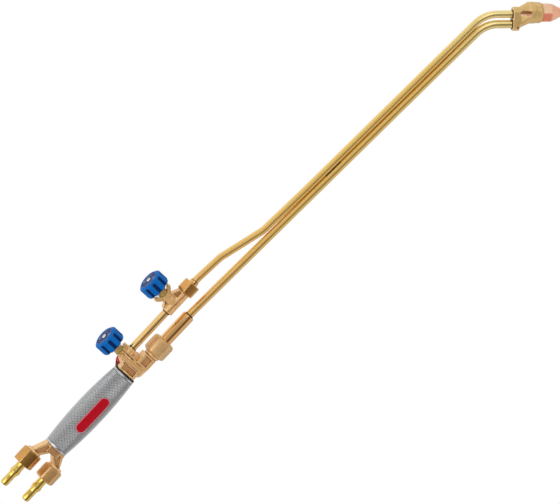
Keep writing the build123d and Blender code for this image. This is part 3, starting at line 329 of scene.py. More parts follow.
knurl_from = handle_rear + plain_band
knurl_length = handle_front - handle_rear - 2 * plain_band
rows = round(knurl_length / knurl_pitch)
row_starts = [knurl_from + i * (knurl_length / rows) for i in range(rows + 1)]
knurl = bmesh.new()
lathe(knurl, [(handle_radius(x) - knurl_height, x) for x in row_starts], steps=knurl_columns)
squares = list(knurl.edges)
bmesh.ops.poke(knurl, faces=knurl.faces)
bmesh.ops.dissolve_edges(knurl, edges=[e for e in squares if len(e.link_faces) == 2], use_verts=False)
bmesh.ops.recalc_face_normals(knurl, faces=knurl.faces)
bmesh.ops.poke(knurl, faces=[f for f in knurl.faces if len(f.verts) == 4], offset=knurl_height)
bmesh.ops.transform(knurl, matrix=lying(0), verts=knurl.verts)

aluminium = Finish("knurled_aluminium", Metallic=0.6, Roughness=0.42)
x, y, z = [part * 1000 for part in aluminium.axes(aluminium.place())]
# The barrel's arc is close to a parabola, so the depth below the points' tips needs no square root of x.
arc_fall = (handle_belly_radius - handle_end_radius) / handle_front**2
tips = handle_belly_radius - x * x * arc_fall
depth = (tips - (y * y + z * z).math("SQRT")) / knurl_height
grime = aluminium.noise(9.0, 4.0)
speck = aluminium.noise(1.6, 2.0)
metal = aluminium.mix(grime * 0.6 + speck * 0.4, paint(192, 193, 194), paint(218, 219, 220))
# The valleys between the knurl's points are painted darker: painted shade.
aluminium.feed(
    Base_Color=aluminium.mix(aluminium.ramp(depth, (0.7, 0.0), (1.05, 1.0)), metal, paint(120, 120, 121)),
    Roughness=grime * 0.18 + 0.3,
)
settle("handle_knurl", knurl, "torch", ["handle_shell"], aluminium, sharp=20.0)

bands = bmesh.new()
for end in (-1, 1):
    inner = end * (handle_front - plain_band)
    outer = end * handle_front
    lathe(
        bands,
        [
            (handle_radius(inner) - 1.4, inner - end * 0.2),
            (handle_radius(inner) - 0.3, inner),
            (handle_radius(inner) - 0.15, inner + end * 0.4),
            (handle_radius(outer), outer - end * 0.7),
            (handle_radius(outer) - 0.5, outer),
            (11.7, outer),
            (11.7, outer - end * 4.5),
        ],
        place=lying(0),
    )
turned_aluminium = Finish("turned_aluminium", Metallic=0.85, Roughness=0.32)
tool_marks = turned_aluminium.noise(0.5, 1.0, turned_aluminium.place(stretch=(1.0, 40.0, 40.0)))
turned_aluminium.feed(
    Base_Color=turned_aluminium.mix(tool_marks, paint(190, 191, 193), paint(226, 227, 229)),
    Roughness=tool_marks * 0.15 + 0.26,
)
settle("handle_bands", bands, "torch", [], turned_aluminium, sharp=25.0)


# ---- Name plate -------------------------------------------------------------------------------
# A thin printed foil with round ends, bent round the near side of the barrel. It is left bare: red with a
# fine pale line just inside its edge.
def recoat(look, *names):
    """Gives nodes that keep their CAD shape a finish of their own."""
    for name in names:
        nodes[name].data.materials.clear()
        nodes[name].data.materials.append(look.material)


plate_centre = -0.5
plate_length = 55.5
plate_width = 13.8
plate_half = (plate_length - plate_width) / 2
line_radius = 6.5
line_half_width = 0.34
plate = Finish("red_plate", Roughness=0.4, Specular_IOR_Level=0.15)
x, _, z = plate.axes(plate.place((plate_centre, 0, 0)))
beyond = (x.math("ABSOLUTE") - plate_half / 1000).math("MAXIMUM", 0.0)
from_spine = (beyond * beyond + z * z).math("SQRT") * 1000
line = from_spine.math("COMPARE", line_radius, line_half_width)
print_wear = plate.noise(3.0, 5.0)
red_print = plate.mix(print_wear, paint(176, 0, 22), paint(196, 2, 32))
plate.feed(Base_Color=plate.mix(line, red_print, paint(226, 150, 158)), Roughness=print_wear * 0.2 + 0.32)
plate.bump(print_wear, 0.02)
recoat(plate, "name_plate")

# ---- Front gasket -----------------------------------------------------------------------------
# A black rubber ring nipped between the handle and the valve body.
gasket = bmesh.new()
lathe(
    gasket,
    [(11.9, 0.0), (15.1, 0.0), (15.6, 0.45), (15.6, 1.55), (15.1, 2.0), (11.9, 2.0)],
    place=lying(handle_front),
)
rubber = Finish("black_rubber", Roughness=0.6)
dust = rubber.noise(1.2)
rubber.feed(Base_Color=rubber.mix(dust, paint(14, 14, 15), paint(38, 37, 36)), Roughness=dust * 0.25 + 0.5)
rubber.bump(dust, 0.03)
settle("front_gasket_ring", gasket, "torch", ["front_gasket"], rubber)


# ---- Inlet block ------------------------------------------------------------------------------
# A hot-forged brass Y: a square centre against the handle and two arms with sunk panels, each ending in a
# round spigot for its nut. Forging leaves soft edges and a fine sandy skin.
def forged(name, light, dark, painted_crease_shade, rim, roughness=0.36):
    """Hot-forged brass: mottled and a little grainy, with a painted highlight on its edges and painted
    shade in its hollows.
    """
    look = Finish(name, Metallic=0.45, Roughness=roughness)
    patches = look.noise(7.0, 4.0)
    grain = look.noise(0.8, 2.0)
    skin = look.mix(patches * 0.7 + grain * 0.3, paint(*dark), paint(*light))
    # Pointiness paints shade into the hollows and a highlight onto the convex edges.
    pointed = look.node("ShaderNodeNewGeometry", output=7)
    skin = look.mix(look.ramp(pointed, (0.46, 1.0), (0.495, 0.0)), skin, paint(*painted_crease_shade))
    skin = look.mix(look.ramp(pointed, (0.512, 0.0), (0.55, 1.0)), skin, paint(*rim))
    look.feed(Base_Color=skin, Roughness=grain * 0.16 + (roughness - 0.08))
    return look.bump(grain * 0.6 + patches * 0.4, 0.06)


def rod(shape, start, end, radius, end_radius=None):
    """A closed round bar between two points, tapered if it has a second radius."""
    run = Vector(end) - Vector(start)
    up = (0, 1, 0) if abs(run.normalized().y) < 0.9 else (1, 0, 0)
    bmesh.ops.create_cone(
        shape,
        cap_ends=True,
        segments=48,
        radius1=radius,
        radius2=radius if end_radius is None else end_radius,
        depth=run.length,
        matrix=seat((Vector(start) + Vector(end)) / 2, run, up),
    )


def slab(shape, corners, near, far):
    """A closed plate: an outline of (x, z) corners, extruded from one y to another."""
    face = shape.faces.new([shape.verts.new((x, near, z)) for x, z in corners])
    pushed = bmesh.ops.extrude_face_region(shape, geom=[face], use_keep_orig=True)["geom"]
    moved = [v for v in pushed if isinstance(v, bmesh.types.BMVert)]
    bmesh.ops.translate(shape, vec=(0, far - near, 0), verts=moved)


def soften(adds, cuts, voxel, passes):
    """Joins overlapping shells into one skin, cuts pockets out of it, and rounds the edges."""

    def temporary(shape, kind):
        bmesh.ops.recalc_face_normals(shape, faces=shape.faces)
        mesh = bpy.data.meshes.new(kind)
        shape.to_mesh(mesh)
        shape.free()
        made = bpy.data.objects.new(kind, mesh)
        bpy.context.scene.collection.objects.link(made)
        return made

    sunk = BVHTree.FromBMesh(cuts)
    block = temporary(adds, "block")
    cutter = temporary(cuts, "cutter")
    skin_over = ("REMESH", {"mode": "VOXEL", "voxel_size": voxel})
    gouge = ("BOOLEAN", {"operation": "DIFFERENCE", "object": cutter})
    polish = ("SMOOTH", {"factor": 0.5, "iterations": passes})
    for kind, settings in (skin_over, gouge, skin_over, polish):
        modifier = block.modifiers.new(kind.lower(), kind)
        for key, value in settings.items():
            setattr(modifier, key, value)
    graph = bpy.context.evaluated_depsgraph_get()
    result = bpy.data.meshes.new_from_object(block.evaluated_get(graph))
    skin = bmesh.new()
    skin.from_mesh(result)
    bpy.data.meshes.remove(result)
    bpy.data.objects.remove(block)
    bpy.data.objects.remove(cutter)
    # The second material, a darker copy painted as shade, is for the floors and walls of the pockets.
    for face in skin.faces:
        wall = sunk.find_nearest(face.calc_center_median(), pocket_reach)[0]
        face.material_index = int(wall is not None)
    return skin


pocket_reach = 0.4
inlet_z = 17.5
arms = {"oxygen": (inlet_z, -84.5), "fuel": (-inlet_z, -82.0)}
inlet = bmesh.new()
inlet_pockets = bmesh.new()
slab(inlet_pockets, [(-71.6, -7.6), (-63.6, -7.6), (-63.6, 7.4), (-71.6, 7.4)], -8.6, -7.0)
slab(inlet, [(-72.5, -8.7), (-62.6, -8.7), (-62.6, 8.7), (-72.5, 8.7)], -7.6, 7.6)
for height, arm_x in arms.values():
    side = 1 if height > 0 else -1
    slab(
        inlet,
        [
            (-62.6, side * 15.0),
            (-66.0, side * 15.2),
            (arm_x, side * 23.0),
            (arm_x, side * 12.0),
            (-73.5, side * 3.3),
            (-62.6, side * 3.3),
        ],
        -6.4,
        6.4,
    )
    for face, depth in ((-7.0, -5.2), (7.0, 5.2)):
        slab(
            inlet_pockets,
            [
                (-66.5, side * 11.6),
                (arm_x + 2.6, side * 19.8),
                (arm_x + 2.6, side * 15.0),
                (-73.8, side * 6.6),
                (-66.5, side * 6.6),
            ],
            face,
            depth,
        )
    rod(inlet, (arm_x + 1.6, 0, height), (arm_x - 11.0, 0, height), 8.0)
    rod(inlet, (arm_x + 2.6, 0, height), (arm_x - 0.2, 0, height), 9.4, 10.2)
# Each forging's dark hollow colour is a painted shade, and its pale rim colour is a painted highlight.
forged_brass = forged(
    "forged_brass",
    light=(255, 214, 150),
    dark=(248, 190, 122),
    painted_crease_shade=(130, 80, 40),
    rim=(255, 236, 190),
)
# A darker copy of the forged brass for the pockets: painted shade in the recesses.
pocket_shade_brass = forged(
    "pocket_shade_forged_brass",
    light=(240, 182, 122),
    dark=(206, 148, 94),
    painted_crease_shade=(104, 62, 28),
    rim=(255, 226, 170),
)
body_looks = [forged_brass, pocket_shade_brass]
skin = soften(inlet, inlet_pockets, voxel=0.4, passes=4)
settle("inlet_forging", skin, "torch", ["inlet_block"], body_looks, sharp=180.0)


# ---- Inlet nuts -------------------------------------------------------------------------------
# Hexagon union nuts, hot-pressed in brass and tumbled, so their corners are round. The fuel nut is the
# softer of the two.
def satin(name, light, dark, roughness, metallic=0.9):
    """Tumbled brass: satin, with faint scuffs."""
    look = Finish(name, Metallic=metallic, Roughness=roughness)
    tone = look.noise(6.0, 3.0)
    scuff = look.noise(0.9, 3.0, look.place(stretch=(3.0, 1.0, 1.0)))
    look.feed(
        Base_Color=look.mix(tone, paint(*dark), paint(*light)),
        Roughness=scuff * 0.2 + (roughness - 0.1),
    )
    return look.bump(scuff, 0.04)


def hexagon_bar(radius, length):
    """A bar with six flats along Z, centred on the origin, whose corners are that far out."""
    bar = bmesh.new()
    bmesh.ops.create_cone(bar, cap_ends=True, segments=6, radius1=radius, radius2=radius, depth=length)
    return bar


def round_off(shape, geom, offset, segments):
    """Bevels edges into rounds."""
    bmesh.ops.bevel(
        shape, geom=geom, offset=offset, segments=segments, affect="EDGES", profile=0.5, material=-1
    )


def hexagon_nut(name, start, forward, replaced, look, *, flats, length, corner, rim, turn, hole):
    """A hexagon bar with rounded corners and rims, and a round recess of radius hole in each end."""
    recess = 1.2
    nut = hexagon_bar(flats / 2 / cos(radians(30)), length)
    corners = [e for e in nut.edges if abs(e.verts[0].co.z - e.verts[1].co.z) > 1]
    round_off(nut, corners, corner, 4)
    ends = [f for f in nut.faces if abs(f.normal.z) > 0.9]
    round_off(nut, [e for f in ends for e in f.edges], rim, 5)
    ends = [f for f in nut.faces if abs(f.normal.z) > 0.99 and f.calc_area() > flats]
    for face in ends:
        bmesh.ops.inset_region(nut, faces=[face], thickness=(flats / 2 - rim) - hole, depth=0.0)
        inward = Vector((0, 0, -1 if face.normal.z > 0 else 1))
        bmesh.ops.translate(nut, vec=inward * recess, verts=face.verts)
    place = seat(Vector(start) + Vector(forward).normalized() * length / 2, forward, (0, 0, 1))
    bmesh.ops.transform(nut, matrix=place @ Matrix.Rotation(radians(turn), 4, "Z"), verts=nut.verts)
    settle(name, nut, "torch", replaced, look, sharp=40.0)


crisp_nut_brass = satin("crisp_nut_brass", (236, 184, 108), (200, 144, 78), 0.25, 1.0)
soft_nut_brass = satin("soft_nut_brass", (246, 200, 136), (218, 166, 104), 0.34, 0.75)
inlet_nuts = {"oxygen": (crisp_nut_brass, 1.0, 1.5), "fuel": (soft_nut_brass, 2.2, 3.0)}
for gas, (height, arm_x) in arms.items():
    look, corner, rim = inlet_nuts[gas]
    hexagon_nut(
        f"{gas}_union_nut",
        (arm_x - 0.2, 0, height),
        (-1, 0, 0),
        [f"{gas}_inlet_nut"],
        look,
        flats=24.0,
        length=20.6,
        corner=corner,
        rim=rim,
        turn=8.0,
        hole=6.4,
    )

# ---- Hose nipples -----------------------------------------------------------------------------
# Turned brass tails that the hoses push on to, with one sharp-backed rib each, left bright from the lathe.
turned_brass = Finish("turned_brass", Metallic=1.0, Roughness=0.18)
rings = turned_brass.noise(0.45, 1.0, turned_brass.place(stretch=(1.0, 60.0, 60.0)))
cast = turned_brass.noise(8.0)
turned_brass.feed(
    Base_Color=turned_brass.mix(cast, paint(232, 190, 84), paint(252, 222, 128)),
    Roughness=rings * 0.14 + 0.12,
)
turned_brass.bump(rings, 0.02)
for gas, (height, arm_x) in arms.items():
    nipple = bmesh.new()
    lathe(
        nipple,
        [
            (3.2, 8.0),
            (6.3, 8.0),
            (6.3, 20.4),
            (5.9, 20.8),
            (5.75, 21.6),
            (5.75, 28.8),
            (6.0, 29.6),
            (6.75, 33.0),
            (6.8, 33.5),
            (6.55, 34.0),
            (5.3, 37.6),
            (5.05, 38.2),
            (5.05, 40.0),
            (4.95, 40.3),
            (4.95, 41.0),
            (5.1, 41.3),
            (5.15, 52.2),
            (4.9, 53.2),
            (3.9, 55.1),
            (3.2, 55.2),
            (3.2, 8.0),
        ],
        place=lying(arm_x, height, -1),
    )
    settle(f"{gas}_tail", nipple, "torch", [f"{gas}_hose_nipple"], turned_brass, 28.0)

# ---- Valve body -------------------------------------------------------------------------------
# The main forging in front of the handle. A block meets the gasket, an upright column carries the heating
# valve, the fuel valve stands on the far side, and two bosses lead to the link tube and the mixer.
heating = (81.1, 24.8)
fuel = (75.7, 12.7, -7.5)
link_z = 16.0
mixer_z = -9.2
body = bmesh.new()
pockets = bmesh.new()
# The block against the gasket, with its sunk panel, and the rib that stands at its front edge.
slab(
    body,
    [(64.6, -9.8), (78.0, -9.8), (78.0, 17.6), (73.4, 17.6), (71.2, 14.6), (64.6, 14.4)],
    -10.8,
    -1.0,
)
rod(body, (64.6, 0, 0), (76.0, 0, 0), 13.6)
slab(
    pockets,
    [(67.2, -6.8), (75.0, -6.8), (75.0, 14.2), (73.2, 14.2), (71.6, 12.2), (67.2, 12.2)],
    -16.0,
    -9.8,
)
slab(body, [(76.8, -12.6), (80.2, -12.6), (80.2, 24.0), (77.2, 24.0)], -11.6, -3.0)
# The column, its foot, and the necks of the two valves.
rod(body, (78.4, 0, -13.0), (78.4, 0, 12.0), 9.6)
rod(body, (78.0, 0, -16.2), (78.0, 0, -12.6), 6.4, 9.2)
rod(body, (78.6, 0, 11.5), (80.4, 0, 19.5), 9.4, 7.2)
rod(body, (heating[0], 0, 8.0), (heating[0], 0, heating[1] - 0.2), 7.0, 6.4)
rod(body, (fuel[0], 0, fuel[2]), (fuel[0], fuel[1] - 0.1, fuel[2]), 7.0, 6.4)
# The link boss with its collar, the wing over it, and the web down to the mixer boss.
rod(body, (80.0, 0, link_z), (93.2, 0, link_z), 6.3)
rod(pockets, (83.4, 0, link_z - 0.6), (84.4, 0, link_z - 0.6), 12.0)
rod(body, (83.0, 0, link_z - 0.4), (85.0, 0, link_z - 0.4), 5.5)
slab(body, [(83.0, 8.0), (93.8, 8.0), (93.4, 1.0), (84.0, 1.0)], -5.2, 5.4)
slab(body, [(87.0, 17.0), (92.4, 17.0), (93.0, 27.6), (88.6, 28.4), (86.6, 24.0)], -3.4, 3.4)
# The mixer boss: a square with a sunk panel between two round collars.
rod(body, (80.0, 0, mixer_z), (105.0, 0, mixer_z), 9.0)
slab(body, [(84.4, -15.8), (101.0, -15.8), (101.0, 1.8), (84.4, 1.8)], -9.6, 8.6)
rod(body, (102.2, 0, mixer_z), (104.9, 0, mixer_z), 10.3)
slab(pockets, [(87.2, -11.6), (98.6, -11.6), (98.6, -2.0), (87.2, -2.0)], -14.0, -7.9)
skin = soften(body, pockets, voxel=0.38, passes=3)
settle("valve_forging", skin, "torch", ["valve_body"], body_looks, sharp=180.0)

# ---- Mixer ------------------------------------------------------------------------------------
# A large pressed union nut with pillowed faces, and the turned mixing chamber that it holds on the body.
# The injector and its seals are inside.
mixer_nut_x = 105.0
hexagon_nut(
    "mixer_union_nut",
    (mixer_nut_x, 0, mixer_z),
    (1, 0, 0),
    ["mixer_nut"],
    satin("mixer_nut_brass", (244, 204, 146), (218, 170, 112), 0.38, 0.55),
    flats=28.0,
    length=23.4,
    corner=3.4,
    rim=4.2,
    turn=-12.0,
    hole=8.6,
)


def drawn(name, light, dark, roughness, metallic=1.0, tone_and_sheen=()):
    """Polished drawn brass: bright, with long faint draw lines, and recoloured along the torch by any
    stops, which hold tone and painted sheen.
    """
    look = Finish(name, Metallic=metallic, Roughness=roughness)
    tone = look.noise(14.0, 3.0, look.place(stretch=(6.0, 1.0, 1.0)))
    lines = look.noise(0.5, 2.0, look.place(stretch=(80.0, 1.0, 1.0)))
    skin = look.mix(tone, paint(*dark), paint(*light))
    if tone_and_sheen:
        along_x = look.axes(look.place())[0]
        skin = look.mix(tone * 0.25 + 0.55, skin, look.ramp(along_x, *tone_and_sheen))
    look.feed(Base_Color=skin, Roughness=lines * 0.12 + (roughness - 0.04))
    return look.bump(lines, 0.01)


mixing_brass = drawn("mixing_chamber_brass", (255, 208, 142), (244, 184, 112), 0.12)
link_brass = drawn("link_tube_brass", (255, 224, 156), (248, 200, 124), 0.13)
chamber = bmesh.new()
lathe(
    chamber,
    [
        (5.2, 19.0),
        (9.4, 19.0),
        (9.4, 23.6),
        (8.05, 24.2),
        (8.0, 24.9),
        (8.0, 65.3),
        (7.75, 66.0),
        (7.1, 66.2),
        (5.3, 66.2),
        (5.3, 59.0),
        (5.2, 19.0),
    ],
    place=lying(mixer_nut_x, mixer_z),
)
settle("mixing_tube", chamber, "torch", ["mixing_chamber"], mixing_brass, sharp=28.0)
recoat(turned_brass, "injector")
recoat(rubber, "injector_seals")

# ---- Cutting valve body -----------------------------------------------------------------------
# The smaller forging on the link tube. A barrel carries the oxygen, a tapered post holds the valve, and two
# ears stand beside the packing nut on a thin web.
cutting = (170.0, 33.0)
cut_body = bmesh.new()
cut_pockets = bmesh.new()
rod(cut_body, (155.8, 0, link_z), (187.9, 0, link_z), 7.5)
rod(cut_body, (cutting[0], 0, 12.0), (cutting[0], 0, 25.0), 8.4, 7.0)
rod(cut_body, (cutting[0], 0, 24.0), (cutting[0], 0, cutting[1]), 6.8, 6.2)
slab(
    cut_body,
    [
        (156.6, 16.0),
        (156.6, 24.6),
        (160.0, 26.0),
        (163.2, 28.6),
        (157.2, 34.8),
        (155.8, 37.4),
        (157.8, 39.6),
        (160.4, 38.8),
        (166.0, 33.2),
        (174.0, 33.2),
        (179.2, 39.0),
        (181.8, 39.8),
        (183.4, 37.8),
        (181.8, 35.0),
        (176.6, 29.6),
        (187.8, 24.6),
        (187.8, 16.0),
    ],
    -4.0,
    4.0,
)
slab(cut_pockets, [(178.0, 20.4), (178.6, 26.4), (185.8, 23.2), (185.8, 20.4)], -8.0, -2.6)
slab(cut_pockets, [(159.0, 24.6), (163.4, 24.0), (165.0, 27.6), (163.6, 27.4)], -9.0, -3.0)
# This thin groove along the near side of the barrel, given the darker pocket finish, stands in for a dark
# reflected stripe: a painted reflection.
rod(cut_pockets, (152.0, -8.0, 17.2), (188.4, -7.6, 15.2), 0.95)
skin = soften(cut_body, cut_pockets, voxel=0.36, passes=3)
settle("cutting_valve_forging", skin, "torch", ["cutting_valve_body"], body_looks, 180.0)

# ---- Needle valves ----------------------------------------------------------------------------
# Three alike: a moulded knob with nine finger grooves and a printed cap, held by one plated screw on a
# steel spindle. The spindle runs up through a brass packing nut. Blue knobs are oxygen, and red is fuel.
knob_lift = 11.3
knob_radius = 17.0
knob_height = 18.0
skirt_height = 15.4
face_radius = 13.6
flutes = 9
per_flute = 12
flute_depth = 1.9
flute_half_width = 1.6  # in steps of the lathe, of which there are per_flute to a groove
flute_edge = 2.6
gland_radius = 6.35
gland_height = 9.2


def knob_shape(place):
    """The knob as moulded: a grooved drum, a sloped shoulder and a face with a sunk seat for its cap."""
    shape = bmesh.new()
    outline = [
        (6.4, 1.5),
        (6.5, 0.3),
        (15.4, 0.0),
        (16.4, 0.4),
        (knob_radius, 1.4),
        (knob_radius, 4.0),
        (knob_radius, skirt_height - 2.6),
        (knob_radius, skirt_height),
        (knob_radius - 0.5, skirt_height + 0.55),
        (face_radius + 0.35, knob_height - 0.25),
        (face_radius, knob_height),
        (12.5, knob_height),
        (12.25, knob_height - 0.3),
        (12.25, knob_height - 1.5),
        (2.2, knob_height - 1.5),
    ]
    lathe(shape, outline, steps=flutes * per_flute)
    # The grooves are columns of points pushed in, and they fade out at the shoulder.
    for vert in shape.verts:
        radius = hypot(vert.co.x, vert.co.y)
        if radius < knob_radius - 1.7 or vert.co.z > skirt_height + 0.2:
            continue
        turned = (atan2(vert.co.y, vert.co.x) * flutes / (2 * pi)) % 1.0
        across = min(turned, 1 - turned) * per_flute
        if across < flute_edge:
            depth = flute_depth if across < flute_half_width else flute_depth * 0.62
            vert.co.xy *= 1 - depth * (0.5 if vert.co.z > skirt_height - 0.5 else 1.0) / radius
    bmesh.ops.transform(shape, matrix=place, verts=shape.verts)
    return shape


def moulding(name, light, dark, groove_shade, centre, turn):
    """Satin moulded plastic with a faint orange peel, its finger grooves painted darker as shade."""
    look = Finish(name, Roughness=0.42, Specular_IOR_Level=0.12)
    x, y, height = [part * 1000 for part in look.axes(look.place(centre, turn))]
    cloud = look.noise(5.0, 3.0)
    peel = look.noise(0.8, 2.0)
    sunk = look.ramp(knob_radius - (x * x + y * y).math("SQRT"), (0.7, 0.0), (1.7, 1.0))
    body = look.mix(cloud, paint(*dark), paint(*light))
    look.feed(
        Base_Color=look.mix(sunk * (height < skirt_height + 0.2), body, paint(*groove_shade)),
        Roughness=peel * 0.16 + 0.34,
    )
    return look.bump(peel, 0.02)


def printed_cap(name, centre, turn, ground, disc, ink):
    """A printed disc: a pale ring broken into two curved arrows round a dark middle."""
    look = Finish(name, Roughness=0.4, Specular_IOR_Level=0.2)
    x, y, _ = look.axes(look.place(centre, turn))
    radius = (x * x + y * y).math("SQRT") * 1000
    angle = y.math("ARCTAN2", x) / (2 * pi)
    half = (angle * 2.0 + 2.03).math("FRACT")
    # Round each half, the band is full width along its shaft, flares to an arrow head and leaves a gap.
    arrow_start = 0.16
    arrow_tip = 0.88
    head = half.math("COMPARE", 0.80, 0.08)
    taper = (arrow_tip - half) * 16.0
    width = (1 - head) * 0.34 + head * (taper * 1.1)
    arrow = radius.math("COMPARE", 8.7, width) * (half > arrow_start) * (half < arrow_tip)
    rim = radius.math("COMPARE", 11.5, 0.16)
    inner = radius.math("COMPARE", 5.9, 0.14)
    inked = arrow.math("MAXIMUM", rim).math("MAXIMUM", inner)
    speck = look.noise(1.0)
    field = look.mix(radius < 6.7, paint(*ground), paint(*disc))
    look.feed(Base_Color=look.mix(inked * 0.9, field, paint(*ink)), Roughness=speck * 0.15 + 0.32)
    return look.bump(speck, 0.01)


steel = Finish("turned_steel", Metallic=1.0, Roughness=0.26)
fine = steel.noise(0.4, 1.0)
steel.feed(
    Base_Color=steel.mix(fine, paint(150, 150, 154), paint(196, 196, 200)),
    Roughness=fine * 0.2 + 0.2,
)
plated = Finish("plated_screw", Metallic=1.0, Roughness=0.2)
haze = plated.noise(1.5)
plated.feed(
    Base_Color=plated.mix(haze, paint(206, 210, 222), paint(240, 242, 248)),
    Roughness=haze * 0.2 + 0.2,
)
ptfe = Finish("packing_white", Roughness=0.5)
fibre = ptfe.noise(0.6)
ptfe.feed(Base_Color=ptfe.mix(fibre, paint(206, 204, 196), paint(236, 234, 228)))

valves = {
    "heating_oxygen": ((heating[0], 0.0, heating[1]), (0, 0, 1), (1, 0, 0), "blue"),
    "fuel_gas": (fuel, (0, 1, 0), (1, 0, 0), "red"),
    "cutting_oxygen": ((cutting[0], 0.0, cutting[1]), (0, 0, 1), (1, 0, 0), "blue"),
}
# Each knob has a light and a dark colour, and a painted shade for its grooves.
knob_colours = {
    "blue": ((0, 118, 200), (0, 88, 172), (0, 40, 98)),
    "red": ((206, 24, 44), (168, 10, 28), (84, 4, 12)),
}
cap_colours = {
    "blue": ((0, 26, 88), (0, 10, 48), (104, 140, 208)),
    "red": ((120, 10, 22), (44, 4, 10), (226, 176, 180)),
}
gland_brass = satin("gland_brass", (246, 212, 136), (214, 174, 98), 0.3, 0.5)
for valve, (centre, forward, up, colour) in valves.items():
    stand = seat(centre, forward, up)
    wheel = f"{valve}_wheel"
    turn = (0, 0, 0) if forward[2] else (radians(-90), 0, 0)
    underside = Vector(centre) + Vector(forward) * knob_lift
    shape = knob_shape(stand @ Matrix.Translation((0, 0, knob_lift)))
    plastic = moulding(f"{valve}_plastic", *knob_colours[colour], tuple(underside), turn)
    settle(f"{valve}_hand_wheel", shape, wheel, [f"{valve}_knob"], plastic, 24.0)
    top = knob_lift + knob_height
    cap = bmesh.new()
    lathe(
        cap,
        [
            (2.2, top - 1.3),
            (12.1, top - 1.3),
            (12.1, top - 0.55),
            (11.8, top - 0.3),
            (4.8, top - 0.3),
            (4.4, top - 0.9),
            (2.2, top - 0.9),
            (2.2, top - 1.3),
        ],
        place=stand,
    )
    face = Vector(centre) + Vector(forward) * top
    label = printed_cap(f"{valve}_cap_print", tuple(face), turn, *cap_colours[colour])
    settle(f"{valve}_cap", cap, wheel, [f"{valve}_knob_cap"], label, 30.0)
    screw = bmesh.new()
    screw_seat = top - 0.9
    lathe(
        screw,
        [
            (0, screw_seat - 8),
            (2.0, screw_seat - 8),
            (2.0, screw_seat),
            (3.2, screw_seat),
            (3.2, screw_seat + 0.9),
            (3.0, screw_seat + 1.35),
            (2.6, screw_seat + 1.65),
            (1.8, screw_seat + 1.7),
            (1.6, screw_seat + 0.7),
            (0, screw_seat + 0.9),
        ],
        place=stand,
    )
    settle(f"{valve}_cap_screw", screw, wheel, [f"{valve}_knob_screw"], plated, 30.0)
    gland = hexagon_bar(gland_radius, gland_height)
    rims = [e for e in gland.edges if e.calc_length() < gland_height * 0.9]
    round_off(gland, rims, 0.7, 3)
    bmesh.ops.translate(gland, vec=(0, 0, 4.7), verts=gland.verts)
    lathe(
        gland,
        [
            (2.7, -2.9),
            (4.4, -2.9),
            (4.4, 0.2),
            (6.6, 0.2),
            (6.9, 0.5),
            (6.9, 1.4),
            (6.2, 1.9),
            (2.7, 1.9),
            (2.7, -2.9),
        ],
    )
    bmesh.ops.transform(gland, matrix=stand @ Matrix.Rotation(radians(12), 4, "Z"), verts=gland.verts)
    settle(f"{valve}_gland", gland, "torch", [f"{valve}_packing_nut"], gland_brass, 35.0)
    recoat(steel, f"{valve}_spindle", f"{valve}_needle")
    recoat(ptfe, f"{valve}_packing")

# ---- Cutting outlet ---------------------------------------------------------------------------
# A small crisp union nut, milled from hexagon bar, and the ferrule that is brazed on the tube behind it.
outlet_x = 188.0
hexagon_nut(
    "cutting_union_nut",
    (outlet_x, 0, link_z),
    (1, 0, 0),
    ["cutting_outlet_nut"],
    satin("outlet_nut_brass", (250, 192, 112), (222, 160, 86), 0.2),
    flats=21.0,
    length=15.6,
    corner=0.8,
    rim=1.1,
    turn=4.0,
    hole=5.9,
)
ferrule = bmesh.new()
lathe(
    ferrule,
    [
        (4.75, 8.2),
        (6.8, 8.2),
        (6.8, 12.4),
        (5.8, 12.5),
        (5.8, 18.9),
        (5.5, 19.5),
        (4.75, 19.6),
        (4.75, 8.2),
    ],
    place=lying(outlet_x, link_z),
)
settle("tube_ferrule", ferrule, "torch", ["cutting_tube_ferrule"], mixing_brass, 28.0)

# ---- Tubes ------------------------------------------------------------------------------------
# Polished drawn brass tube. The upper one drops on to the lower one past the mixer, and they run together
# to the bend behind the head. A short link tube joins the two valve bodies.
tube_brass = drawn(
    "tube_brass",
    (255, 212, 130),
    (240, 188, 100),
    roughness=0.25,
    metallic=0.85,
    # These stops are tone along the torch, except the pale one near the head, which is a painted sheen.
    tone_and_sheen=(
        (0.2, paint(252, 204, 130)),
        (0.34, paint(255, 216, 126)),
        (0.60, paint(255, 218, 128)),
        (0.72, paint(255, 242, 176)),
    ),
)
upper_tube_radius = 4.7
lower_tube_radius = 5.2
link_tube_radius = 4.9
tube_spacing = 10.0
droop_angle = radians(2.5)
droop = tan(droop_angle)
mixer_front = 171.2
droop_x = mixer_front + 6.5


def lower_z(x):
    """Height of the lower tube's centre on its long straight run."""
    return mixer_z - droop * (x - droop_x)


def upper_z(x):
    """Height of the upper tube's centre where it lies on the lower one."""
    return lower_z(x) + tube_spacing / cos(droop_angle)


head_angle = radians(47.5)
head_forward = Vector((cos(head_angle), 0, -sin(head_angle)))
head_up = Vector((sin(head_angle), 0, cos(head_angle)))
head_corner_x = 700.5
head_corner = Vector((head_corner_x, 0, upper_z(head_corner_x)))


def on_head(along, up=0.0, side=0.0):
    """A point on the head: how far along its axis from the bend, above the axis, and to the far side."""
    return head_corner + head_forward * along + head_up * up + Vector((0, side, 0))


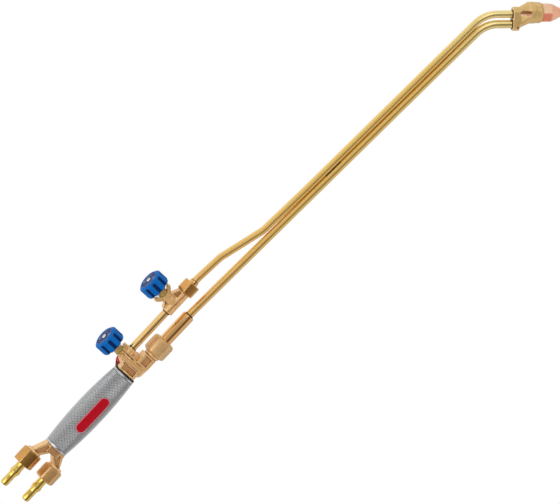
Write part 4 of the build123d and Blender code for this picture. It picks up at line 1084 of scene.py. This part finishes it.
def bent_tube(name, route, radii, radius, replaced, look=tube_brass):
    """A closed round bar: a ring drawn along each straight run and spun round each bend."""
    shape = bmesh.new()
    route = [Vector(p) for p in route]
    ring = bmesh.ops.create_circle(
        shape,
        segments=40,
        radius=radius,
        matrix=seat(route[0], route[1] - route[0], (0, 0, 1)),
    )["verts"]
    start = route[0]
    edges = list({e for v in ring for e in v.link_edges})
    for corner, following, bend in zip(route[1:], [*route[2:], None], [*radii, None]):
        run = (corner - start).normalized()
        if following is None:
            stop = corner
        else:
            onward = (following - corner).normalized()
            swing = run.angle(onward)
            stop = corner - run * bend * tan(swing / 2)
        pushed = bmesh.ops.extrude_edge_only(shape, edges=edges)["geom"]
        verts = [v for v in pushed if isinstance(v, bmesh.types.BMVert)]
        bmesh.ops.translate(shape, vec=stop - start, verts=verts)
        edges = [e for e in pushed if isinstance(e, bmesh.types.BMEdge)]
        edges = [e for e in edges if e.verts[0] in verts and e.verts[1] in verts]
        if following is None:
            break
        axis = run.cross(onward).normalized()
        centre = stop + axis.cross(run) * bend
        swept = bmesh.ops.spin(
            shape,
            geom=edges + verts,
            cent=centre,
            axis=axis,
            angle=swing,
            steps=max(4, round(swing * bend / 1.6)),
            use_merge=False,
            use_duplicate=False,
        )["geom_last"]
        edges = [e for e in swept if isinstance(e, bmesh.types.BMEdge)]
        start = corner + onward * bend * tan(swing / 2)
    bmesh.ops.holes_fill(shape, edges=shape.edges, sides=0)
    bmesh.ops.remove_doubles(shape, verts=shape.verts, dist=0.0005)
    settle(name, shape, "torch", replaced, look, sharp=50.0)


upper_entry = -1.8
lower_entry = upper_entry - 12.6
flange_at = 34.5
tube_end = flange_at + 8.0 - 0.2


def bend_corner(line_z, up):
    """Where a tube's long run meets its own line into the head, up above the head's axis."""
    start = on_head(0, up)
    onward = (start.z - line_z(start.x)) / (tan(head_angle) - droop)
    return (start.x + onward, 0, line_z(start.x + onward))


bent_tube(
    "cutting_tube",
    [
        (198.6, 0, link_z),
        (212.1, 0, link_z),
        (250.8, 0, link_z - 2.8),
        (312.0, 0, upper_z(312.0) + 1.2),
        (382.5, 0, upper_z(382.5)),
        bend_corner(upper_z, upper_entry),
        on_head(tube_end, upper_entry),
    ],
    [60.0, 40.0, 40.0, 600.0, 40.0],
    upper_tube_radius,
    ["cutting_oxygen_tube"],
)
bent_tube(
    "mixed_tube",
    [
        (160.3, 0, mixer_z),
        (droop_x, 0, mixer_z),
        bend_corner(lower_z, lower_entry),
        on_head(tube_end, lower_entry),
    ],
    [200.0, 40.0],
    lower_tube_radius,
    ["mixed_gas_tube"],
)
bent_tube(
    "short_link_tube",
    [(88.2, 0, link_z), (161.6, 0, link_z)],
    [],
    link_tube_radius,
    ["link_tube"],
    link_brass,
)
recoat(tube_brass, "oxygen_feed_tube", "fuel_feed_tube")

# ---- Head -------------------------------------------------------------------------------------
# A forged head: an oblong flange takes both tubes, and a neck with a sunk panel on each side swells into
# the round socket that the nozzle screws into.
neck_at = 43.5
shoulder_at = 55.2
front_at = 62.4
mouth_at = 71.9
shoulder_radius = 13.7
mouth_radius = 13.3


def oblong(shape, at, length, radius, spacing, drop):
    """The hull of two round bars side by side, as the flange and the start of the neck are."""
    for up in (drop, drop - spacing):
        rod(shape, on_head(at, up), on_head(at + length, up), radius)


def hull(shape, joined):
    """Wraps a shape's bars in one skin and adds it to the shape that they belong to."""
    bmesh.ops.convex_hull(shape, input=shape.verts)
    loose = bpy.data.meshes.new("hull")
    shape.to_mesh(loose)
    shape.free()
    joined.from_mesh(loose)
    bpy.data.meshes.remove(loose)


head = bmesh.new()
flange = bmesh.new()
oblong(flange, flange_at, 9.0, 7.5, 15.3, 0.0)
hull(flange, head)
neck = bmesh.new()
oblong(neck, neck_at - 1.0, 1.0, 6.8, 13.0, 0.2)
rod(neck, on_head(shoulder_at), on_head(shoulder_at + 1.0), mouth_radius)
hull(neck, head)
rod(head, on_head(shoulder_at - 1), on_head(front_at), shoulder_radius)
rod(head, on_head(front_at - 0.5), on_head(mouth_at - 2.2), mouth_radius)
rod(head, on_head(mouth_at - 2.4), on_head(mouth_at), mouth_radius, 12.0)
head_pockets = bmesh.new()
for side in (-1, 1):
    panel = seat(on_head(49.3, 0.8, side * 11.4), head_forward, head_up)
    bmesh.ops.create_cube(head_pockets, size=1.0, matrix=panel @ Matrix.Diagonal((7.8, 6.0, 12.6, 1.0)))
rod(head_pockets, on_head(40.5, -17.9, -9.0), on_head(40.5, -17.9, -5.2), 1.2)
# The head's dark hollow colour is a painted shade, and its pale rim colour is a painted highlight.
head_brass = forged(
    "head_brass",
    light=(255, 216, 150),
    dark=(200, 162, 88),
    painted_crease_shade=(116, 76, 38),
    rim=(255, 236, 190),
    roughness=0.38,
)
# The pocket floor and walls are painted darker as shade, and a thin band along its lower lip is painted
# pale as a highlight.
pocket_shade_head_brass = Finish("pocket_shade_head_brass", Metallic=0.3, Roughness=0.45)
x, _, z = pocket_shade_head_brass.axes(pocket_shade_head_brass.place(on_head(49.0, -0.5)))
up_from_ledge = x * head_up[0] + z * head_up[2]
lip_highlight = (up_from_ledge < 0.0) * (up_from_ledge > -0.005)
scale = pocket_shade_head_brass.noise(1.2, 3.0)
pocket_shade_head_brass.feed(
    Base_Color=pocket_shade_head_brass.mix(
        lip_highlight,
        pocket_shade_head_brass.mix(scale, paint(150, 98, 56), paint(196, 142, 88)),
        pocket_shade_head_brass.mix(scale, paint(250, 206, 166), paint(255, 226, 192)),
    ),
    Roughness=scale * 0.2 + 0.36,
)
skin = soften(head, head_pockets, voxel=0.36, passes=6)
head_looks = [head_brass, pocket_shade_head_brass]
settle("torch_head_forging", skin, "torch", ["torch_head"], head_looks, sharp=180.0)

# ---- Nozzles ----------------------------------------------------------------------------------
# The outer nozzle is copper, turned from hexagon bar and screwed into the head. The brass inner nozzle
# stands inside its mouth.
nozzle_flats = 22.6
nozzle_turn = radians(50.5)
copper = Finish("nozzle_copper", Metallic=0.15, Roughness=0.3)
heat = copper.noise(6.0, 3.0)
scratch = copper.noise(0.5, 2.0)
x, _, z = [part * 1000 for part in copper.axes(copper.place(on_head(0.0)))]
across = x * head_up[0] + z * head_up[2]
forward_of = (x * head_forward[0] + z * head_forward[2] - mouth_at) / 20.0
# The nozzle's upper side is painted pale as lit, and its lower side painted darker and redder as shade.
bright = copper.mix(heat, paint(255, 198, 158), paint(255, 218, 182))
shaded_underside_copper = copper.mix(heat, paint(222, 120, 90), paint(238, 144, 112))
lit_and_shaded_copper = copper.mix(copper.ramp((across + 12.0) / 24.0, (0.5, 0.0), (0.6, 1.0)), shaded_underside_copper, bright)
burnished = copper.mix(heat, paint(252, 170, 132), paint(255, 202, 166))
copper.feed(
    Base_Color=copper.mix(copper.ramp(forward_of, (0.5, 0.0), (0.68, 1.0)), lit_and_shaded_copper, burnished),
    Roughness=scratch * 0.2 + 0.24,
)
copper.bump(scratch, 0.03)
nozzle = bmesh.new()
lathe(
    nozzle,
    [
        (8.9, -7.8),
        (8.9, 0.0),
        (12.4, 0.0),
        (12.85, 0.6),
        (12.85, 10.8),
        (10.9, 13.4),
        (9.75, 16.4),
        (8.6, 19.0),
        (7.25, 21.6),
        (5.9, 24.2),
        (5.3, 25.6),
        (4.4, 26.4),
        (3.7, 26.4),
        (3.7, 23.5),
        (6.5, 12.8),
        (6.5, -7.8),
        (8.9, -7.8),
    ],
    steps=72,
)
for vert in nozzle.verts:
    # It is hexagon bar, so no point stands outside the six flats.
    radius = hypot(vert.co.x, vert.co.y)
    flat_angle = atan2(vert.co.y, vert.co.x) % (pi / 3) - pi / 6
    vert.co.xy *= min(1.0, nozzle_flats / 2 / cos(flat_angle) / radius)
bmesh.ops.transform(
    nozzle,
    matrix=seat(on_head(mouth_at + 0.3), head_forward, head_up) @ Matrix.Rotation(nozzle_turn, 4, "Z"),
    verts=nozzle.verts,
)
settle("copper_nozzle", nozzle, "torch", ["outer_nozzle"], copper, sharp=24.0)
recoat(turned_brass, "inner_nozzle")

# ---- Braze ------------------------------------------------------------------------------------
# Silver-braze fillets where each tube enters its socket, darkened by heat and a little lumpy, and one tack
# that holds the two long tubes together.
braze = Finish("dark_braze", Metallic=0.7, Roughness=0.5)
burn = braze.noise(2.0, 4.0)
braze.feed(Base_Color=braze.mix(burn, paint(44, 32, 20), paint(120, 88, 48)), Roughness=burn * 0.3 + 0.35)
braze.bump(burn, 0.25)
recoat(braze, "braze_fillets", "tube_tack")
